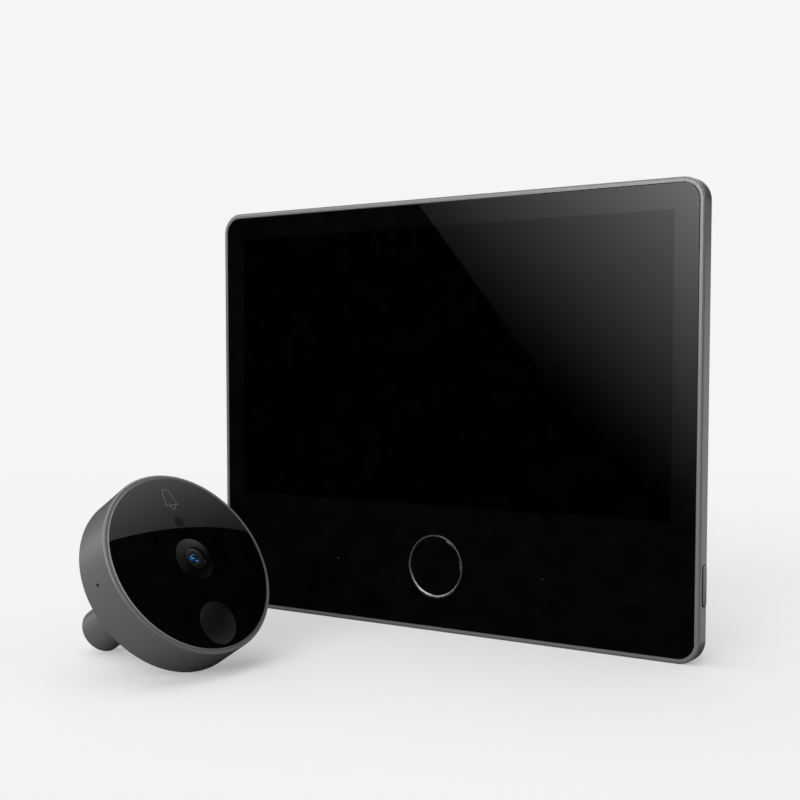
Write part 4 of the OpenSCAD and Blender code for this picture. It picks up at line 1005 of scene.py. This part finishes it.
class DOORCAMERA_OT_inside(bpy.types.Operator):
    """Finishes the parts inside both units"""

    bl_idname = "door_camera.inside"
    bl_label = "Inside"

    def execute(self, context):
        # Glass-fibre board under green solder mask: a faint weave under a satin green
        board = finish("solder_masked_board", ("#0e4a2a", "#14603a"), (0.3, 0.4), 0.6, 0.004, IOR=1.5)
        # Glass polarised and switched off: nearly black, satin
        cell = finish("polarised_cell", ("#08080a", "#0c0c0f"), (0.25, 0.3), 1.2, 0.001, IOR=1.5)
        # Polycarbonate light guide: milky white
        guide = finish("milky_light_guide", ("#dcdde0", "#e9eaec"), (0.4, 0.5), 1.5, 0.002, IOR=1.58)
        # Aluminium sheet, stamped and left bare: fine rolling lines
        sheet = finish(
            "rolled_aluminium", ("#9a9b9d", "#a9aaac"), (0.3, 0.42), 0.25, 0.003,
            stretch=(0.05, 1, 1), Metallic=1.0,
        )
        # Acetal, moulded: strong red with a waxy gloss
        red = finish("moulded_acetal", ("#8c1a14", "#9a2018"), (0.3, 0.36), 0.5, 0.002, IOR=1.48)
        # Glass-filled nylon, moulded: black and slightly streaky
        black = finish("glass_filled_nylon", ("#141415", "#1c1c1d"), (0.45, 0.55), 0.35, 0.004, IOR=1.53)
        # Laminated foil pouch: dull silver-grey with soft creases
        pouch = finish("foil_pouch", ("#53575d", "#646970"), (0.4, 0.5), 3.0, 0.05, Metallic=0.4)
        # Etched copper on film: warm metal
        copper = finish("etched_copper_film", ("#a96a35", "#ba7a42"), (0.3, 0.4), 0.5, 0.002, Metallic=1.0)
        # Coated filter glass: deep wine red
        red_glass = finish("infrared_cut_glass", ("#2c0a10", "#3a0f16"), (0.02, 0.04), 1.5, 0, IOR=1.52)
        # Epoxy lamp body: water clear over a pale base
        epoxy = finish("clear_epoxy_lamp", ("#c9cccd", "#d6d8d8"), (0.05, 0.1), 0.8, 0, IOR=1.55)
        dress(board, "main_board", "chin_board", "camera_board")
        dress(cell, "display_cell")
        dress(guide, "backlight_unit")
        dress(sheet, "chassis_plate")
        dress(red, "home_plunger", "side_plunger")
        dress(
            black, "home_switch", "side_switch", "loudspeaker", "camera_carrier", "lens_holder",
            "chime_speaker", "light_sensor", "image_sensor",
        )
        dress(pouch, "battery_pack")
        dress(copper, "aerial", "bell_touch_pad")
        dress(red_glass, "infrared_filter")
        dress(epoxy, "infrared_lamps")
        return {"FINISHED"}


class DOORCAMERA_PT_panel(bpy.types.Panel):
    """Lists the steps that build the door camera"""

    bl_idname = "DOORCAMERA_PT_panel"
    bl_label = "Door camera"
    bl_space_type = "VIEW_3D"
    bl_region_type = "UI"
    bl_category = "Door camera"

    def draw(self, context):
        for operator in OPERATORS:
            self.layout.operator(operator.bl_idname)
        for group in (context.scene.door_camera_sizes, context.scene.door_camera_colours):
            for key in group.__annotations__:
                self.layout.prop(group, key)


OPERATORS = (
    DOORCAMERA_OT_shell, DOORCAMERA_OT_cover_glass, DOORCAMERA_OT_home_ring, DOORCAMERA_OT_side_key,
    DOORCAMERA_OT_camera_glass, DOORCAMERA_OT_windows, DOORCAMERA_OT_side_gauze, DOORCAMERA_OT_lens,
    DOORCAMERA_OT_bell, DOORCAMERA_OT_back, DOORCAMERA_OT_inside, DOORCAMERA_OT_stage,
)
CLASSES = (DoorCameraSizes, DoorCameraColours, *OPERATORS, DOORCAMERA_PT_panel)


def register():
    """Adds the classes and the settings to Blender."""
    for each in CLASSES:
        bpy.utils.register_class(each)
    bpy.types.Scene.door_camera_sizes = PointerProperty(type=DoorCameraSizes)
    bpy.types.Scene.door_camera_colours = PointerProperty(type=DoorCameraColours)


def unregister():
    """Takes the settings and the classes away again."""
    del bpy.types.Scene.door_camera_colours
    del bpy.types.Scene.door_camera_sizes
    for each in reversed(CLASSES):
        bpy.utils.unregister_class(each)


def main():
    """Builds the object in the open scene."""
    register()
    bpy.ops.door_camera.shell()
    bpy.ops.door_camera.cover_glass()
    bpy.ops.door_camera.home_ring()
    bpy.ops.door_camera.side_key()
    bpy.ops.door_camera.camera_glass()
    bpy.ops.door_camera.windows()
    bpy.ops.door_camera.side_gauze()
    bpy.ops.door_camera.lens()
    bpy.ops.door_camera.bell()
    bpy.ops.door_camera.back()
    bpy.ops.door_camera.inside()
    bpy.ops.door_camera.stage()


if __name__ == "__main__":
    main()
